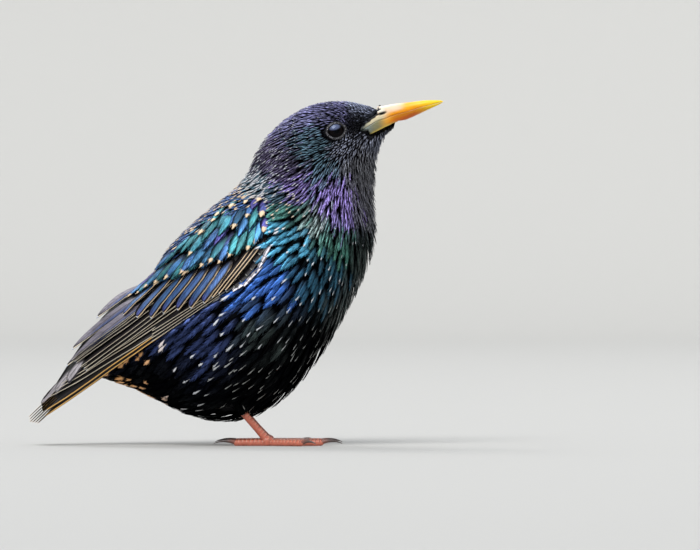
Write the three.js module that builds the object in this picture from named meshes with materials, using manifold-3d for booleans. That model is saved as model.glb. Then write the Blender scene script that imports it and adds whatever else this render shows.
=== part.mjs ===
// A common starling in spring plumage, life size, standing low on both feet with its bill raised.
// Millimetres. +Z is up, +X is the way the bird looks and +Y is its left. The floor is at z = 0.
// The body is one lofted form parted by thin cuts into head, neck and torso. Each wing is a thin pad
// that lies in a recess of the body and carries its feathers as overlapping vanes, in tiers.
import * as THREE from "three";
import { mergeVertices } from "three/addons/utils/BufferGeometryUtils.js";
import Module from "manifold-3d";

const wasm = await Module();
wasm.setup();

const GAP = 0.3; // between two pieces that touch
const VANE = 0.5; // thickness of a feather vane
const DEGREE = Math.PI / 180;

// Outline of the plumage from the tail's root to the back of the head.
// back and belly are points of the side view, and half is the half width between them.
const BODY = [
  { back: [-60, 34], belly: [-56, 27.5], half: 3.5 },
  { back: [-51, 43.5], belly: [-41, 22.5], half: 8.5 },
  { back: [-43.5, 55.5], belly: [-30.5, 17.5], half: 16 },
  { back: [-35, 66.3], belly: [-16, 11], half: 23.5 },
  { back: [-26.5, 76.8], belly: [1.5, 9.5], half: 28.5 },
  { back: [-18, 85.4], belly: [17.5, 17], half: 30.5 },
  { back: [-9.4, 92.8], belly: [31.2, 32], half: 30 },
  { back: [-2.3, 98.3], belly: [42.5, 50.7], half: 27.5 },
  { back: [2.3, 103], belly: [50.5, 67.5], half: 23.5 },
  { back: [5.5, 107.6], belly: [54, 82], half: 19.5 },
  { back: [7.4, 112.3], belly: [53.2, 95.6], half: 16.5 },
  { back: [10.2, 117.4], belly: [54, 107.3], half: 14 },
  { back: [13.8, 121.8], belly: [55.2, 114], half: 11.6 },
  { back: [19.5, 125], belly: [57.8, 119.8], half: 9 },
];
// The head, from inside the neck to the feathers at the bill.
const HEAD = [
  { back: [11.2, 117.6], belly: [30, 99], half: 9 },
  { back: [13.8, 122], belly: [31, 101.5], half: 10.6 },
  { back: [18.6, 126.6], belly: [33, 103.5], half: 11.4 },
  { back: [24.5, 130.4], belly: [36, 105.5], half: 11.6 },
  { back: [30.5, 132.9], belly: [39.5, 107.5], half: 11.5 },
  { back: [37, 134], belly: [43.5, 109.5], half: 10.9 },
  { back: [43, 134.1], belly: [47.8, 111.8], half: 9.2 },
  { back: [48, 133.2], belly: [52, 114.6], half: 6.5 },
  { back: [52.3, 132.2], belly: [56, 118], half: 4.4 },
  { back: [56, 131.2], belly: [59.8, 121.6], half: 3.1 },
  { back: [57.8, 129.6], belly: [63.2, 125.4], half: 1.7 },
];
// The surface that the folded wing lies in: the body's outline, drawn on past the rump to the wing tips.
const WING = [
  { back: [-77.2, 14.8], belly: [-71.5, 9.5], half: 8 },
  { back: [-73.3, 19], belly: [-65.5, 12.5], half: 9 },
  { back: [-68.6, 26.5], belly: [-59.3, 16.5], half: 10.5 },
  { back: [-61.6, 37.4], belly: [-50, 19.9], half: 13 },
  { back: [-53.8, 48], belly: [-40.6, 19.1], half: 17 },
  { back: [-45.2, 56.9], belly: [-30.4, 16], half: 21 },
  ...BODY.slice(3, 10),
];
const WING_FIRST = -3; // the place of WING's first section on the body's own scale of sections

const GABLE = 0.55; // how far the rear of the back narrows to a ridge under the folded wings
const GABLE_END = 4.6; // the section where that narrowing has gone

const RECESS = 3; // depth of the wing's bed below the outline
const RECESS_LOW = -4 * DEGREE; // where the bed's lower edge begins and is full, round the body
const RECESS_FULL = 7 * DEGREE;
const RECESS_FRONT = 7.9; // where the bed ends and is full, along the body, in sections
const RECESS_DEEP = 6.9;
const RECESS_HIGH = [56 * DEGREE, 72 * DEGREE]; // where its upper edge is full and ends, beside the mantle
const MANTLE = [2.2, 4.2]; // the sections where the mantle begins to part the two beds and has parted them

const NECK_CUT = { low: [54, 84], high: [5.5, 109.5] }; // the cuts, as lines of the side view
const HEAD_CUT = { low: [56, 113.5], high: [8.5, 119] };

const EYE = { x: 39.1, z: 122.3, radius: 4.2, sunk: 3.1 }; // sunk is the depth of its middle under the skin
const LID = { wide: 3.45, tall: 3.1, thick: 0.55, deep: 1.8 }; // deep is how far it reaches through the skin

const CULMEN = [[46, 130], [54.2, 131.9], [57.7, 132.4], [61.5, 133.1], [67.7, 133.8], [72.4, 134.4], [76, 134.6], [79.8, 134.5], [81, 134]];
const TOMIUM = [[44.5, 121], [48.6, 122.4], [54.6, 126.1], [58.2, 127.3], [61.5, 128.6], [66.5, 129.9], [71.2, 131.3], [76, 132.6], [80.7, 133.8]];
const GONYS = [[45, 118], [52.3, 120.5], [58.7, 123.5], [64, 125.9], [67.7, 127.3], [71.2, 128.9], [74.8, 130.6], [78.3, 132.2], [80.5, 133.4]];
const BILL_HALF = [5.9, 5.6, 4.4, 3.7, 3.1, 2.5, 1.95, 1.3, 0.45]; // half widths, from the root to the tip
const NOSTRIL = { x: 57.3, z: 129.5, long: 1.9, tall: 0.55, deep: 1.1 };

const TAIL = { root: [-46, 44.6], tip: [-81.3, 10.4], half: 8.8, crown: 3.4, layer: 0.78, pairs: 6 };

const STANCE = 12; // half the distance between the feet
const FOOT = { x: 12.5, y: STANCE, z: 1.15 }; // where the toes meet
const TOES = [
  { name: "inner", turn: -27, length: 14.5, thick: 1.25, claw: 6 },
  { name: "middle", turn: 1, length: 21, thick: 1.35, claw: 8 },
  { name: "outer", turn: 29, length: 15.5, thick: 1.2, claw: 6 },
  { name: "hind", turn: 174, length: 12.5, thick: 1.35, claw: 8.5 },
];
const SHANK = { top: [2.6, 12.4, 13.4], thick: 1.3 };
const THIGH = { top: [-6, 13, 26], low: [3.4, 12.4, 12.2], thick: [7.5, 2.5] };

const COLOURS = {
  head: "#2a2440",
  neck: "#33255a",
  torso: "#12293f",
  wing: "#1d3c63",
  tail: "#3a322f",
  thigh: "#15151a",
  bill_upper: "#f0a818",
  bill_lower: "#d9a23a",
  eye: "#15100e",
  shank: "#b0503c",
  foot: "#d07a58",
  claw: "#6b5c58",
};

// A closed solid from points and triangles, with its faces turned outwards.
function solid(points, faces) {
  let volume = 0;
  for (const [a, b, c] of faces) volume += points[a].dot(points[b].clone().cross(points[c]));
  const triVerts = new Uint32Array((volume < 0 ? faces.map(([a, b, c]) => [a, c, b]) : faces).flat());
  const vertProperties = new Float32Array(points.flatMap((p) => p.toArray()));
  return new wasm.Manifold(new wasm.Mesh({ numProp: 3, vertProperties, triVerts }));
}

// A tube through rings of as many points each, closed flat at both ends. The two halves of each ring
// are split into triangles as mirror images, so left matches right, and a vane's two faces match.
function loft(rings) {
  const sides = rings[0].length;
  const points = rings.flat();
  const faces = [];
  for (let i = 0; i + 1 < rings.length; i++) {
    for (let j = 0; j < sides; j++) {
      const a = i * sides + j;
      const b = i * sides + ((j + 1) % sides);
      if (j < Math.floor(sides / 2)) faces.push([a, b, b + sides], [a, b + sides, a + sides]);
      else faces.push([a, b, a + sides], [b, b + sides, a + sides]);
    }
  }
  const last = points.length - sides;
  for (let j = 1; j + 1 < sides; j++) faces.push([0, j + 1, j], [last, last + j, last + j + 1]);
  return solid(points, faces);
}

// A three.js geometry as a solid, placed by a matrix.
function solidOf(geometry, matrix) {
  geometry.deleteAttribute("normal");
  geometry.deleteAttribute("uv");
  const merged = mergeVertices(geometry.applyMatrix4(matrix), 1e-4);
  const at = merged.attributes.position;
  const points = Array.from({ length: at.count }, (_, i) => new THREE.Vector3().fromBufferAttribute(at, i));
  const faces = [];
  for (let i = 0; i < merged.index.count; i += 3) {
    const face = [0, 1, 2].map((k) => merged.index.getX(i + k));
    if (new Set(face).size === 3) faces.push(face);
  }
  return solid(points, faces);
}

const place = (x, y, z, sx = 1, sy = 1, sz = 1) =>
  new THREE.Matrix4().compose(new THREE.Vector3(x, y, z), new THREE.Quaternion(), new THREE.Vector3(sx, sy, sz));

const smooth = (low, high, x) => THREE.MathUtils.smoothstep(x, low, high);

// A smooth surface through sections. along runs from first, one for each section, and round is the
// angle about the section: 0 at the widest place on the left, 90 degrees at the back.
class Form {
  constructor(sections, { first = 0, gable = 0 } = {}) {
    this.first = first;
    this.gable = gable;
    this.last = first + sections.length - 1;
    this.back = new THREE.SplineCurve(sections.map((s) => new THREE.Vector2(...s.back)));
    this.belly = new THREE.SplineCurve(sections.map((s) => new THREE.Vector2(...s.belly)));
    this.half = new THREE.SplineCurve(sections.map((s, i) => new THREE.Vector2(i, s.half)));
  }
  section(along) {
    const share = THREE.MathUtils.clamp((along - this.first) / (this.last - this.first), 0, 1);
    const back = this.back.getPoint(share);
    const belly = this.belly.getPoint(share);
    const middle = back.clone().add(belly).multiplyScalar(0.5);
    return { back, belly, middle, up: back.clone().sub(middle), half: this.half.getPoint(share).y };
  }
  // A point lift mm outside the surface.
  point(along, round, lift = 0) {
    const { middle, up, half } = this.section(along);
    const rise = (1 + lift / up.length()) * Math.sin(round);
    const ridge = this.gable * (1 - smooth(0, GABLE_END, along)) * Math.max(0, Math.sin(round));
    const side = Math.cos(round) * Math.abs(Math.cos(round)) ** ridge;
    return new THREE.Vector3(middle.x + up.x * rise, (half + lift) * side, middle.y + up.y * rise);
  }
  // Where a point of the side view lies on the surface.
  locate(x, z) {
    const ahead = (along) => {
      const { middle, up } = this.section(along);
      return (x - middle.x) * up.y - (z - middle.y) * up.x;
    };
    let low = this.first;
    let high = this.last;
    for (let i = 0; i < 30; i++) {
      const middle = (low + high) / 2;
      if (ahead(middle) > 0) low = middle;
      else high = middle;
    }
    const { middle, up } = this.section(low);
    const share = ((x - middle.x) * up.x + (z - middle.y) * up.y) / up.lengthSq();
    return { along: low, round: Math.asin(THREE.MathUtils.clamp(share, -0.995, 0.995)) };
  }
  // The outward direction at a place.
  normal(along, round) {
    const step = 0.02;
    const a = this.point(along + step, round).sub(this.point(along - step, round));
    const b = this.point(along, round + step).sub(this.point(along, round - step));
    const out = a.cross(b).normalize();
    return out.dot(this.point(along, round, 1).sub(this.point(along, round))) < 0 ? out.negate() : out;
  }
}

const body = new Form(BODY, { gable: GABLE });
const skull = new Form(HEAD);
const fold = new Form(WING, { first: WING_FIRST, gable: GABLE });

const recess = (along, round) => {
  const side = Math.asin(Math.sin(round)); // the same on the left and the right
  const bed = smooth(RECESS_LOW, RECESS_FULL, side) * (1 - smooth(RECESS_DEEP, RECESS_FRONT, along));
  return -RECESS * bed * (1 - smooth(...RECESS_HIGH, side) * smooth(...MANTLE, along));
};

// Angles round the body, from belly to back, closer where the wing's bed begins.
const ROUNDS = [-90, -74, -58, -43, -29, -16, -4, 7, 19, 31, 43, 55, 66, 78, 90].map((angle) => angle * DEGREE);

// The plumage of the torso and neck, grown by a margin.
function bodySolid(grow = 0) {
  const stations = 28;
  const rounds = [...ROUNDS, ...ROUNDS.slice(1, -1).reverse().map((round) => Math.PI - round)];
  const rings = Array.from({ length: stations }, (_, i) => {
    const along = (i / (stations - 1)) * body.last;
    return rounds.map((round) => body.point(along, round, recess(along, round) + grow));
  });
  return loft(rings);
}

function headSolid() {
  const stations = 16;
  const sides = 22;
  const rings = Array.from({ length: stations }, (_, i) => {
    const along = (i / (stations - 1)) * skull.last;
    return Array.from({ length: sides }, (_, j) => skull.point(along, (j / sides) * 2 * Math.PI - Math.PI / 2));
  });
  return loft(rings);
}

// One half of the bill between a ridge line and the line where the halves meet.
function billHalf(ridge, way, grow = 0) {
  const stations = 15;
  const sides = 9;
  const top = new THREE.SplineCurve(ridge.map((p) => new THREE.Vector2(...p)));
  const meet = new THREE.SplineCurve(TOMIUM.map((p) => new THREE.Vector2(...p)));
  const half = new THREE.SplineCurve(BILL_HALF.map((w, i) => new THREE.Vector2(i, w)));
  const rings = Array.from({ length: stations }, (_, i) => {
    const share = i / (stations - 1);
    const crown = top.getPoint(share);
    const seam = meet.getPoint(share);
    const rise = crown.clone().sub(seam);
    const width = half.getPoint(share).y + grow;
    const start = (way * GAP) / 2 - way * grow;
    const height = Math.max(0.25, Math.abs(rise.y) - GAP / 2 + 2 * grow);
    const back = i === 0 ? grow : 0;
    return Array.from({ length: sides }, (_, j) => {
      const turn = (j / (sides - 1)) * Math.PI;
      const up = Math.sin(turn) ** 0.85;
      const x = seam.x + rise.x * up - back;
      return new THREE.Vector3(x, width * Math.cos(turn), seam.y + start + way * height * up);
    });
  });
  return loft(rings);
}

// The cut between two pieces: the part of a solid on one side of a line of the side view.
function cut(piece, line, above, gap = GAP / 2) {
  const [x0, z0] = line.low;
  const [x1, z1] = line.high;
  const normal = new THREE.Vector2(z1 - z0, x0 - x1).normalize();
  if (normal.y < 0) normal.negate();
  if (!above) normal.negate();
  return piece.trimByPlane([normal.x, 0, normal.y], normal.x * x0 + normal.y * z0 + gap);
}

// A vane on a form: path gives each station's place in the side view, with its lift and width.
// tilt turns the vane about its length, so that its lower edge stands off the next vane.
function vane(form, path, tilt) {
  const at = path.map(({ x, z, lift }) => {
    const { along, round } = form.locate(x, z);
    const out = form.normal(along, round);
    return { point: form.point(along, round).addScaledVector(out, lift), out };
  });
  const rings = at.map(({ point, out }, i) => {
    const next = at[Math.min(i + 1, at.length - 1)].point;
    const last = at[Math.max(i - 1, 0)].point;
    const ahead = next.clone().sub(last).normalize();
    const across = out.clone().cross(ahead).normalize().applyAxisAngle(ahead, -tilt);
    const thick = ahead.clone().cross(across).multiplyScalar(VANE / 2);
    const wide = across.multiplyScalar(path[i].width / 2);
    return [[1, 1], [-1, 1], [-1, -1], [1, -1]].map(([w, t]) =>
      point.clone().addScaledVector(wide, w).addScaledVector(thick, t),
    );
  });
  return loft(rings);
}

// Half the outline of a feather: share of the length, share of the width.
const VANE_OUTLINE = new THREE.SplineCurve(
  [[0, 0.5], [0.3, 0.92], [0.62, 1], [0.86, 0.84], [0.96, 0.56], [1, 0.2]].map((p) => new THREE.Vector2(...p)),
);
const COVERT_STATIONS = [0, 0.42, 0.8, 1];
const LONG_COVERT_STATIONS = [0, 0.3, 0.6, 0.86, 1];
const FLIGHT_STATIONS = [0, 0.2, 0.38, 0.55, 0.71, 0.87, 1];

// A feather from root to tip of the side view, bowed by bow of its length towards the back.
function feather(form, root, tip, { width, bow = 0, from, to, tilt = 0, stations = COVERT_STATIONS }) {
  const across = [tip[1] - root[1], root[0] - tip[0]];
  const path = stations.map((t) => {
    const { x: share, y: wide } = VANE_OUTLINE.getPoint(t);
    const bend = 4 * bow * share * (1 - share);
    return {
      x: THREE.MathUtils.lerp(root[0], tip[0], share) + across[0] * bend,
      z: THREE.MathUtils.lerp(root[1], tip[1], share) + across[1] * bend,
      lift: THREE.MathUtils.lerp(from, to, Math.min(1, share * 1.4)),
      width: width * wide,
    };
  });
  return vane(form, path, tilt);
}

// Tiers of the folded left wing. roots and tips are the first and last feather's places in the side view,
// and tilt is set by the spacing, so that feathers side by side stay STEP apart in height.
const PAD_LOW = -RECESS + 0.35;
const PAD_TOP = -1.6;
const SUNK = -2.1; // how deep the feathers root
const STEP = 0.85;
const TIERS = [
  { count: 4, roots: [[8, 97], [-8, 87]], tips: [[4, 88.5], [-15.5, 78.5]], width: 7.6, to: -0.1 },
  { count: 6, roots: [[13, 92.5], [-24, 76]], tips: [[8.5, 84], [-32, 67]], width: 8, to: -0.15 },
  { count: 8, roots: [[14.5, 87.5], [-33.5, 66]], tips: [[9, 78.5], [-43, 57]], width: 6.4, to: -0.2 },
  {
    ...{ count: 9, roots: [[11.5, 78.5], [-32, 65]], tips: [[-1.6, 61.4], [-43.3, 51.6]], width: 5.2, to: -0.25 },
    stations: LONG_COVERT_STATIONS,
  },
];
const TERTIALS = [
  { root: [-36, 63], tip: [-53.6, 47.3], width: 8.4, to: -0.4 },
  { root: [-34, 60], tip: [-63.2, 37.6], width: 8.6, to: -0.7 },
  { root: [-29, 60], tip: [-66, 30.4], width: 7.6, to: -1 },
];
const SECONDARIES = { count: 3, roots: [[-22, 61], [-14, 60.5]], tips: [[-62, 31.5], [-56.5, 27.6]], width: 3.2, to: -1.1 };
const PRIMARIES = { count: 4, roots: [[-8, 61], [2, 63.6]], tips: [[-64.5, 25.6], [-73, 14.6]], width: 3, to: -1.1 };

const lerp2 = (a, b, t) => [THREE.MathUtils.lerp(a[0], b[0], t), THREE.MathUtils.lerp(a[1], b[1], t)];

// The distance between two lines of the side view, each from a root to a tip, halfway along.
function spacing(roots, tips, count) {
  const [ax, az] = [tips[0][0] - roots[0][0], tips[0][1] - roots[0][1]];
  const [bx, bz] = [0, 1].map((k) => (roots[1][k] + tips[1][k] - roots[0][k] - tips[0][k]) / 2);
  return Math.abs(ax * bz - az * bx) / Math.hypot(ax, az) / (count - 1);
}

function tier({ count, roots, tips, ...shape }) {
  const tilt = Math.min(0.5, Math.atan(STEP / spacing(roots, tips, count)));
  return Array.from({ length: count }, (_, i) => {
    const share = i / (count - 1);
    const places = [lerp2(...roots, share), lerp2(...tips, share)];
    return feather(fold, ...places, { from: SUNK, tilt, ...shape });
  });
}

// The thin pad under the coverts, which all the wing's feathers root in.
function wingPad() {
  const stations = 10;
  const across = 6;
  const front = 7.3;
  const rear = 1.6;
  const corner = (i, j, top) => {
    const share = i / (stations - 1);
    const along = THREE.MathUtils.lerp(front, rear, share);
    const low = THREE.MathUtils.lerp(24, 13, smooth(0, 0.3, share));
    const high = 60 + 14 * smooth(0.25, 0.7, share);
    const round = THREE.MathUtils.lerp(low, high, j / (across - 1)) * DEGREE;
    const rim = Math.min(i, stations - 1 - i, j, across - 1 - j) === 0 ? 0.4 : 0;
    return fold.point(along, round, top ? PAD_TOP - rim : PAD_LOW);
  };
  const rings = Array.from({ length: stations }, (_, i) => [
    ...Array.from({ length: across }, (_, j) => corner(i, j, true)),
    ...Array.from({ length: across }, (_, j) => corner(i, across - 1 - j, false)),
  ]);
  return loft(rings);
}

const union = (pieces) => wasm.Manifold.union(pieces);
const largest = (piece) => piece.decompose().sort((a, b) => b.volume() - a.volume())[0];

function wingSolid() {
  const flight = { from: SUNK, stations: FLIGHT_STATIONS };
  const pieces = [wingPad(), ...TIERS.flatMap((row) => tier(row))];
  for (const { root, tip, ...shape } of TERTIALS) pieces.push(feather(fold, root, tip, { ...flight, tilt: 0.12, ...shape }));
  for (const row of [SECONDARIES, PRIMARIES]) pieces.push(...tier({ ...flight, bow: -0.03, ...row }));
  return union(pieces).trimByPlane([0, 1, 0], GAP / 2);
}

// The folded tail: pairs of feathers stepped down and out from the middle pair, rooted in one block.
function tailSolid(grow = 0) {
  const [rootX, rootZ] = TAIL.root;
  const length = Math.hypot(TAIL.tip[0] - rootX, TAIL.tip[1] - rootZ);
  const ahead = new THREE.Vector3(TAIL.tip[0] - rootX, 0, TAIL.tip[1] - rootZ).normalize();
  const up = new THREE.Vector3(-ahead.z, 0, ahead.x).multiplyScalar(ahead.x < 0 ? -1 : 1);
  const at = (share, side, level) =>
    new THREE.Vector3(rootX, side, rootZ).addScaledVector(ahead, share * length).addScaledVector(up, level);
  const thick = VANE / 2 + grow;
  const pieces = [];
  for (let i = 0; i < TAIL.pairs; i++) {
    for (const side of [-1, 1]) {
      const rings = [[0, 0.5], [0.3, 0.72], [0.65, 0.9], [0.92, 1], [1, 0.7]].map(([share, spread]) => {
        const inner = (i === 0 ? -0.4 : 0.75 * i) * spread - grow;
        const outer = (TAIL.half - (TAIL.pairs - 1 - i) * 1.05) * spread * (share === 1 ? 0.8 : 1) + grow;
        const level = -i * TAIL.layer * (0.55 + 0.45 * spread) - (side > 0 && i === 0 ? 0.1 : 0);
        const reach = share - 0.012 * Math.abs(i - 2) * share;
        const drop = (y) => level - 0.09 * Math.max(0, y);
        return [[inner, 1], [outer, 1], [outer, -1], [inner, -1]].map(([y, t]) =>
          at(reach, side * y, drop(y) + t * thick),
        );
      });
      pieces.push(loft(rings));
    }
  }
  const block = [[-0.1, 5, 3.2], [0.12, 4.8, 3], [0.3, 4.4, 2.4], [0.42, 3.6, 1.5]].map(([share, wide, tall]) =>
    Array.from({ length: 12 }, (_, j) => {
      const turn = (j / 12) * 2 * Math.PI;
      return at(share, (wide + grow) * Math.cos(turn), -1.9 + (tall + grow) * Math.sin(turn));
    }),
  );
  pieces.push(loft(block));
  return union(pieces);
}

// A tube of round rings through points, with a radius at each.
function limb(points, radii, sides = 10) {
  const curve = new THREE.CatmullRomCurve3(points);
  const rings = points.map((point, i) => {
    const ahead = curve.getTangent(i / (points.length - 1));
    const side = new THREE.Vector3(0, 0, 1).cross(ahead);
    if (side.lengthSq() < 1e-6) side.set(0, 1, 0);
    side.normalize();
    const up = ahead.clone().cross(side);
    return Array.from({ length: sides }, (_, j) => {
      const turn = ((j + 0.5) / sides) * 2 * Math.PI;
      return point
        .clone()
        .addScaledVector(side, radii[i] * Math.cos(turn))
        .addScaledVector(up, radii[i] * Math.sin(turn));
    });
  });
  return loft(rings);
}

const onFloor = (piece) => piece.trimByPlane([0, 0, 1], 0);

function toeAt({ turn, length }, distance, z) {
  const heading = turn * DEGREE;
  const start = 0.6; // the toes spring from the rim of the pad
  return new THREE.Vector3(
    FOOT.x + (start + distance) * Math.cos(heading),
    FOOT.y + (start + distance) * Math.sin(heading),
    z,
  );
}

function toe(shape) {
  const stations = shape.name === "middle" ? 9 : 7;
  const joints = shape.name === "middle" ? 4 : 3;
  const points = [];
  const radii = [];
  for (let i = 0; i < stations; i++) {
    const share = i / (stations - 1);
    const pad = 0.5 - 0.5 * Math.cos(share * joints * 2 * Math.PI);
    points.push(toeAt(shape, share * shape.length, FOOT.z));
    radii.push(shape.thick * (1 - 0.12 * share + 0.1 * pad) * (share === 1 ? 0.72 : 1));
  }
  return limb(points, radii, 6);
}

// The foot's pad and four toes, with flats where they rest on the floor.
function footSolid(grow = 0) {
  const pad = solidOf(
    new THREE.SphereGeometry(1, 10, 6),
    place(FOOT.x, FOOT.y, FOOT.z + 0.7, 2.6 + grow, 2.4 + grow, 2 + grow),
  );
  return onFloor(union([pad, ...TOES.map(toe)]));
}

function claw(shape, grow = 0) {
  const stations = 7;
  const points = [];
  const radii = [];
  for (let i = 0; i < stations; i++) {
    const share = i / (stations - 1);
    const arch = 1.05 * Math.sin(share * Math.PI * 0.62) - 1.45 * share * share;
    points.push(toeAt(shape, shape.length - 0.6 + share * shape.claw, FOOT.z + 0.25 + arch));
    radii.push((1 - share) * 0.82 + 0.12 + grow);
  }
  return onFloor(limb(points, radii, 6));
}

function shankSolid() {
  const top = new THREE.Vector3(...SHANK.top);
  const low = new THREE.Vector3(FOOT.x - 0.3, FOOT.y, FOOT.z + 1.4);
  const points = Array.from({ length: 6 }, (_, i) => top.clone().lerp(low, i / 5));
  return limb(points, [1.05, 1, 0.95, 0.95, 1.05, 1.25].map((r) => r * SHANK.thick), 10);
}

function thighSolid(grow = 0) {
  const top = new THREE.Vector3(...THIGH.top);
  const low = new THREE.Vector3(...THIGH.low);
  const points = Array.from({ length: 6 }, (_, i) => top.clone().lerp(low, i / 5));
  return limb(points, [0, 0.2, 0.42, 0.66, 0.86, 1].map((t) => THREE.MathUtils.lerp(...THIGH.thick, t) + grow), 12);
}

const mirrored = (piece) => piece.mirror([0, 1, 0]);
const bothSides = (piece) => union([piece, mirrored(piece)]);

// The left eye's place: sunk so that its cap shows between the lids.
const eyePlace = skull.locate(EYE.x, EYE.z);
const eyeOut = skull.normal(eyePlace.along, eyePlace.round);
const eyeSkin = skull.point(eyePlace.along, eyePlace.round);
const eyeMiddle = eyeSkin.clone().addScaledVector(eyeOut, -EYE.sunk);

function eyeball(radius) {
  return solidOf(new THREE.SphereGeometry(1, 14, 8), place(...eyeMiddle.toArray(), radius, radius, radius));
}

function lid() {
  const ring = new THREE.TorusGeometry(1, LID.thick / LID.wide, 5, 14);
  const turn = new THREE.Quaternion().setFromUnitVectors(new THREE.Vector3(0, 0, 1), eyeOut);
  const size = new THREE.Vector3(LID.wide, LID.tall, (LID.deep / 2 / LID.thick) * LID.wide);
  return solidOf(ring, new THREE.Matrix4().compose(eyeSkin, turn, size));
}

function nostril() {
  const tilt = new THREE.Matrix4().makeRotationY(-14 * DEGREE);
  const { x, z, long, tall, deep } = NOSTRIL;
  return solidOf(new THREE.SphereGeometry(1, 10, 6), place(x, 3.5, z).multiply(tilt).scale(new THREE.Vector3(long, deep, tall)));
}

function build() {
  const parts = {};
  const bill = union([billHalf(CULMEN, 1, GAP), billHalf(GONYS, -1, GAP)]);
  const plumage = bodySolid();
  const plumageGrown = bodySolid(GAP);
  const face = headSolid().add(bothSides(lid()));
  const whole = union([plumage, face]).subtract(bill);
  const sockets = bothSides(eyeball(EYE.radius + GAP));

  parts.head = cut(whole, HEAD_CUT, true).subtract(sockets);
  parts.neck = cut(cut(whole, HEAD_CUT, false), NECK_CUT, true);
  parts.torso = cut(whole, NECK_CUT, false);
  parts.bill_upper = billHalf(CULMEN, 1).subtract(bothSides(nostril()));
  parts.bill_lower = billHalf(GONYS, -1);
  parts.tail = tailSolid().subtract(plumageGrown);

  const sides = {
    eye: eyeball(EYE.radius),
    wing: wingSolid().subtract(plumageGrown).subtract(tailSolid(GAP)),
    thigh: thighSolid().subtract(plumageGrown),
    shank: shankSolid().subtract(thighSolid(GAP)).subtract(footSolid(GAP)),
    foot: footSolid().subtract(union(TOES.map((shape) => claw(shape, GAP)))),
  };
  for (const shape of TOES) sides["claw_" + shape.name] = claw(shape);
  for (const [name, piece] of Object.entries(sides)) {
    parts[name + "_left"] = piece;
    parts[name + "_right"] = mirrored(piece);
  }
  return parts;
}

// A solid as a named mesh.
function mesh(name, piece) {
  const { vertProperties, triVerts } = largest(piece).getMesh();
  const geometry = new THREE.BufferGeometry()
    .setAttribute("position", new THREE.BufferAttribute(vertProperties, 3))
    .setIndex(new THREE.BufferAttribute(triVerts, 1));
  geometry.computeVertexNormals();
  const kind = Object.keys(COLOURS).find((key) => name.startsWith(key));
  const horn = /bill|eye|claw/.test(name);
  const material = new THREE.MeshStandardMaterial({ color: COLOURS[kind], roughness: horn ? 0.35 : 0.6, metalness: 0 });
  const made = new THREE.Mesh(geometry, material);
  made.name = name;
  return made;
}

const starling = new THREE.Group();
starling.name = "starling";
for (const [name, piece] of Object.entries(build())) starling.add(mesh(name, piece));

export default starling;
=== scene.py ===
"""A common starling in spring plumage, life size: skin, mesh feathers, bill, eyes, legs and a plain stage."""

import functools
import math
from collections import namedtuple

import bpy
import numpy as np
from mathutils import Matrix, Vector
from mathutils.bvhtree import BVHTree
from mathutils.kdtree import KDTree


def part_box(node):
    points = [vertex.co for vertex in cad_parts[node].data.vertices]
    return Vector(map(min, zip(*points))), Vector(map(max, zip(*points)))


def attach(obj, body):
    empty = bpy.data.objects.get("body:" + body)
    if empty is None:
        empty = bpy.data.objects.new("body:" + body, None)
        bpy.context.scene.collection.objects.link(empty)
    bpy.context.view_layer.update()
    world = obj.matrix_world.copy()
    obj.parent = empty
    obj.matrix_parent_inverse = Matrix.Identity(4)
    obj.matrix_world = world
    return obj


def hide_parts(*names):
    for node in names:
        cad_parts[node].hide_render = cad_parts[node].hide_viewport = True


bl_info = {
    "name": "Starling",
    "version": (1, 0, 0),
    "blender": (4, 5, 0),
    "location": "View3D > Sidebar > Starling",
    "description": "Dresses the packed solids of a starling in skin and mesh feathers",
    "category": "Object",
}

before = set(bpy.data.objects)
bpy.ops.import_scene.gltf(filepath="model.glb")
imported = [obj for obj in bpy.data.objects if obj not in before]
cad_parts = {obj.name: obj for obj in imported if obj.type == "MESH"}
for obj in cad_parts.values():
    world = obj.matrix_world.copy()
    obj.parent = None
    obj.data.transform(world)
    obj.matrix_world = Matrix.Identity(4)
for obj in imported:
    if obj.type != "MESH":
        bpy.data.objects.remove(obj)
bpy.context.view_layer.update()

MM = 0.001  # the tables below are in millimetres and Blender's units are metres
DEGREE = math.pi / 180
BODY_NAME = "root"

# Outline of the plumage from the tail's root to the back of the head, as in the solids.
# Each section has its back and its belly in the side view, and its half width.
BODY = [
    ((-60, 34), (-56, 27.5), 3.5),
    ((-51, 43.5), (-41, 22.5), 8.5),
    ((-43.5, 55.5), (-30.5, 17.5), 16),
    ((-35, 66.3), (-16, 11), 23.5),
    ((-26.5, 76.8), (1.5, 9.5), 28.5),
    ((-18, 85.4), (17.5, 17), 30.5),
    ((-9.4, 92.8), (31.2, 32), 30),
    ((-2.3, 98.3), (42.5, 50.7), 27.5),
    ((2.3, 103), (50.5, 67.5), 23.5),
    ((5.5, 107.6), (54, 82), 19.5),
    ((7.4, 112.3), (53.2, 95.6), 16.5),
    ((10.2, 117.4), (54, 107.3), 14),
    ((13.8, 121.8), (55.2, 114), 11.6),
    ((19.5, 125), (57.8, 119.8), 9),
]
# The head, from inside the neck to the feathers at the bill.
HEAD = [
    ((11.2, 117.6), (30, 99), 9),
    ((13.8, 122), (31, 101.5), 10.6),
    ((18.6, 126.6), (33, 103.5), 11.4),
    ((24.5, 130.4), (36, 105.5), 11.6),
    ((30.5, 132.9), (39.5, 107.5), 11.5),
    ((37, 134), (43.5, 109.5), 10.9),
    ((43, 134.1), (47.8, 111.8), 9.2),
    ((48, 133.2), (52, 114.6), 6.5),
    ((52.3, 132.2), (56, 118), 4.4),
    ((56, 131.2), (59.7, 121.9), 3.2),
    ((57.8, 129.6), (64.4, 126.1), 1.5),
]
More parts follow.
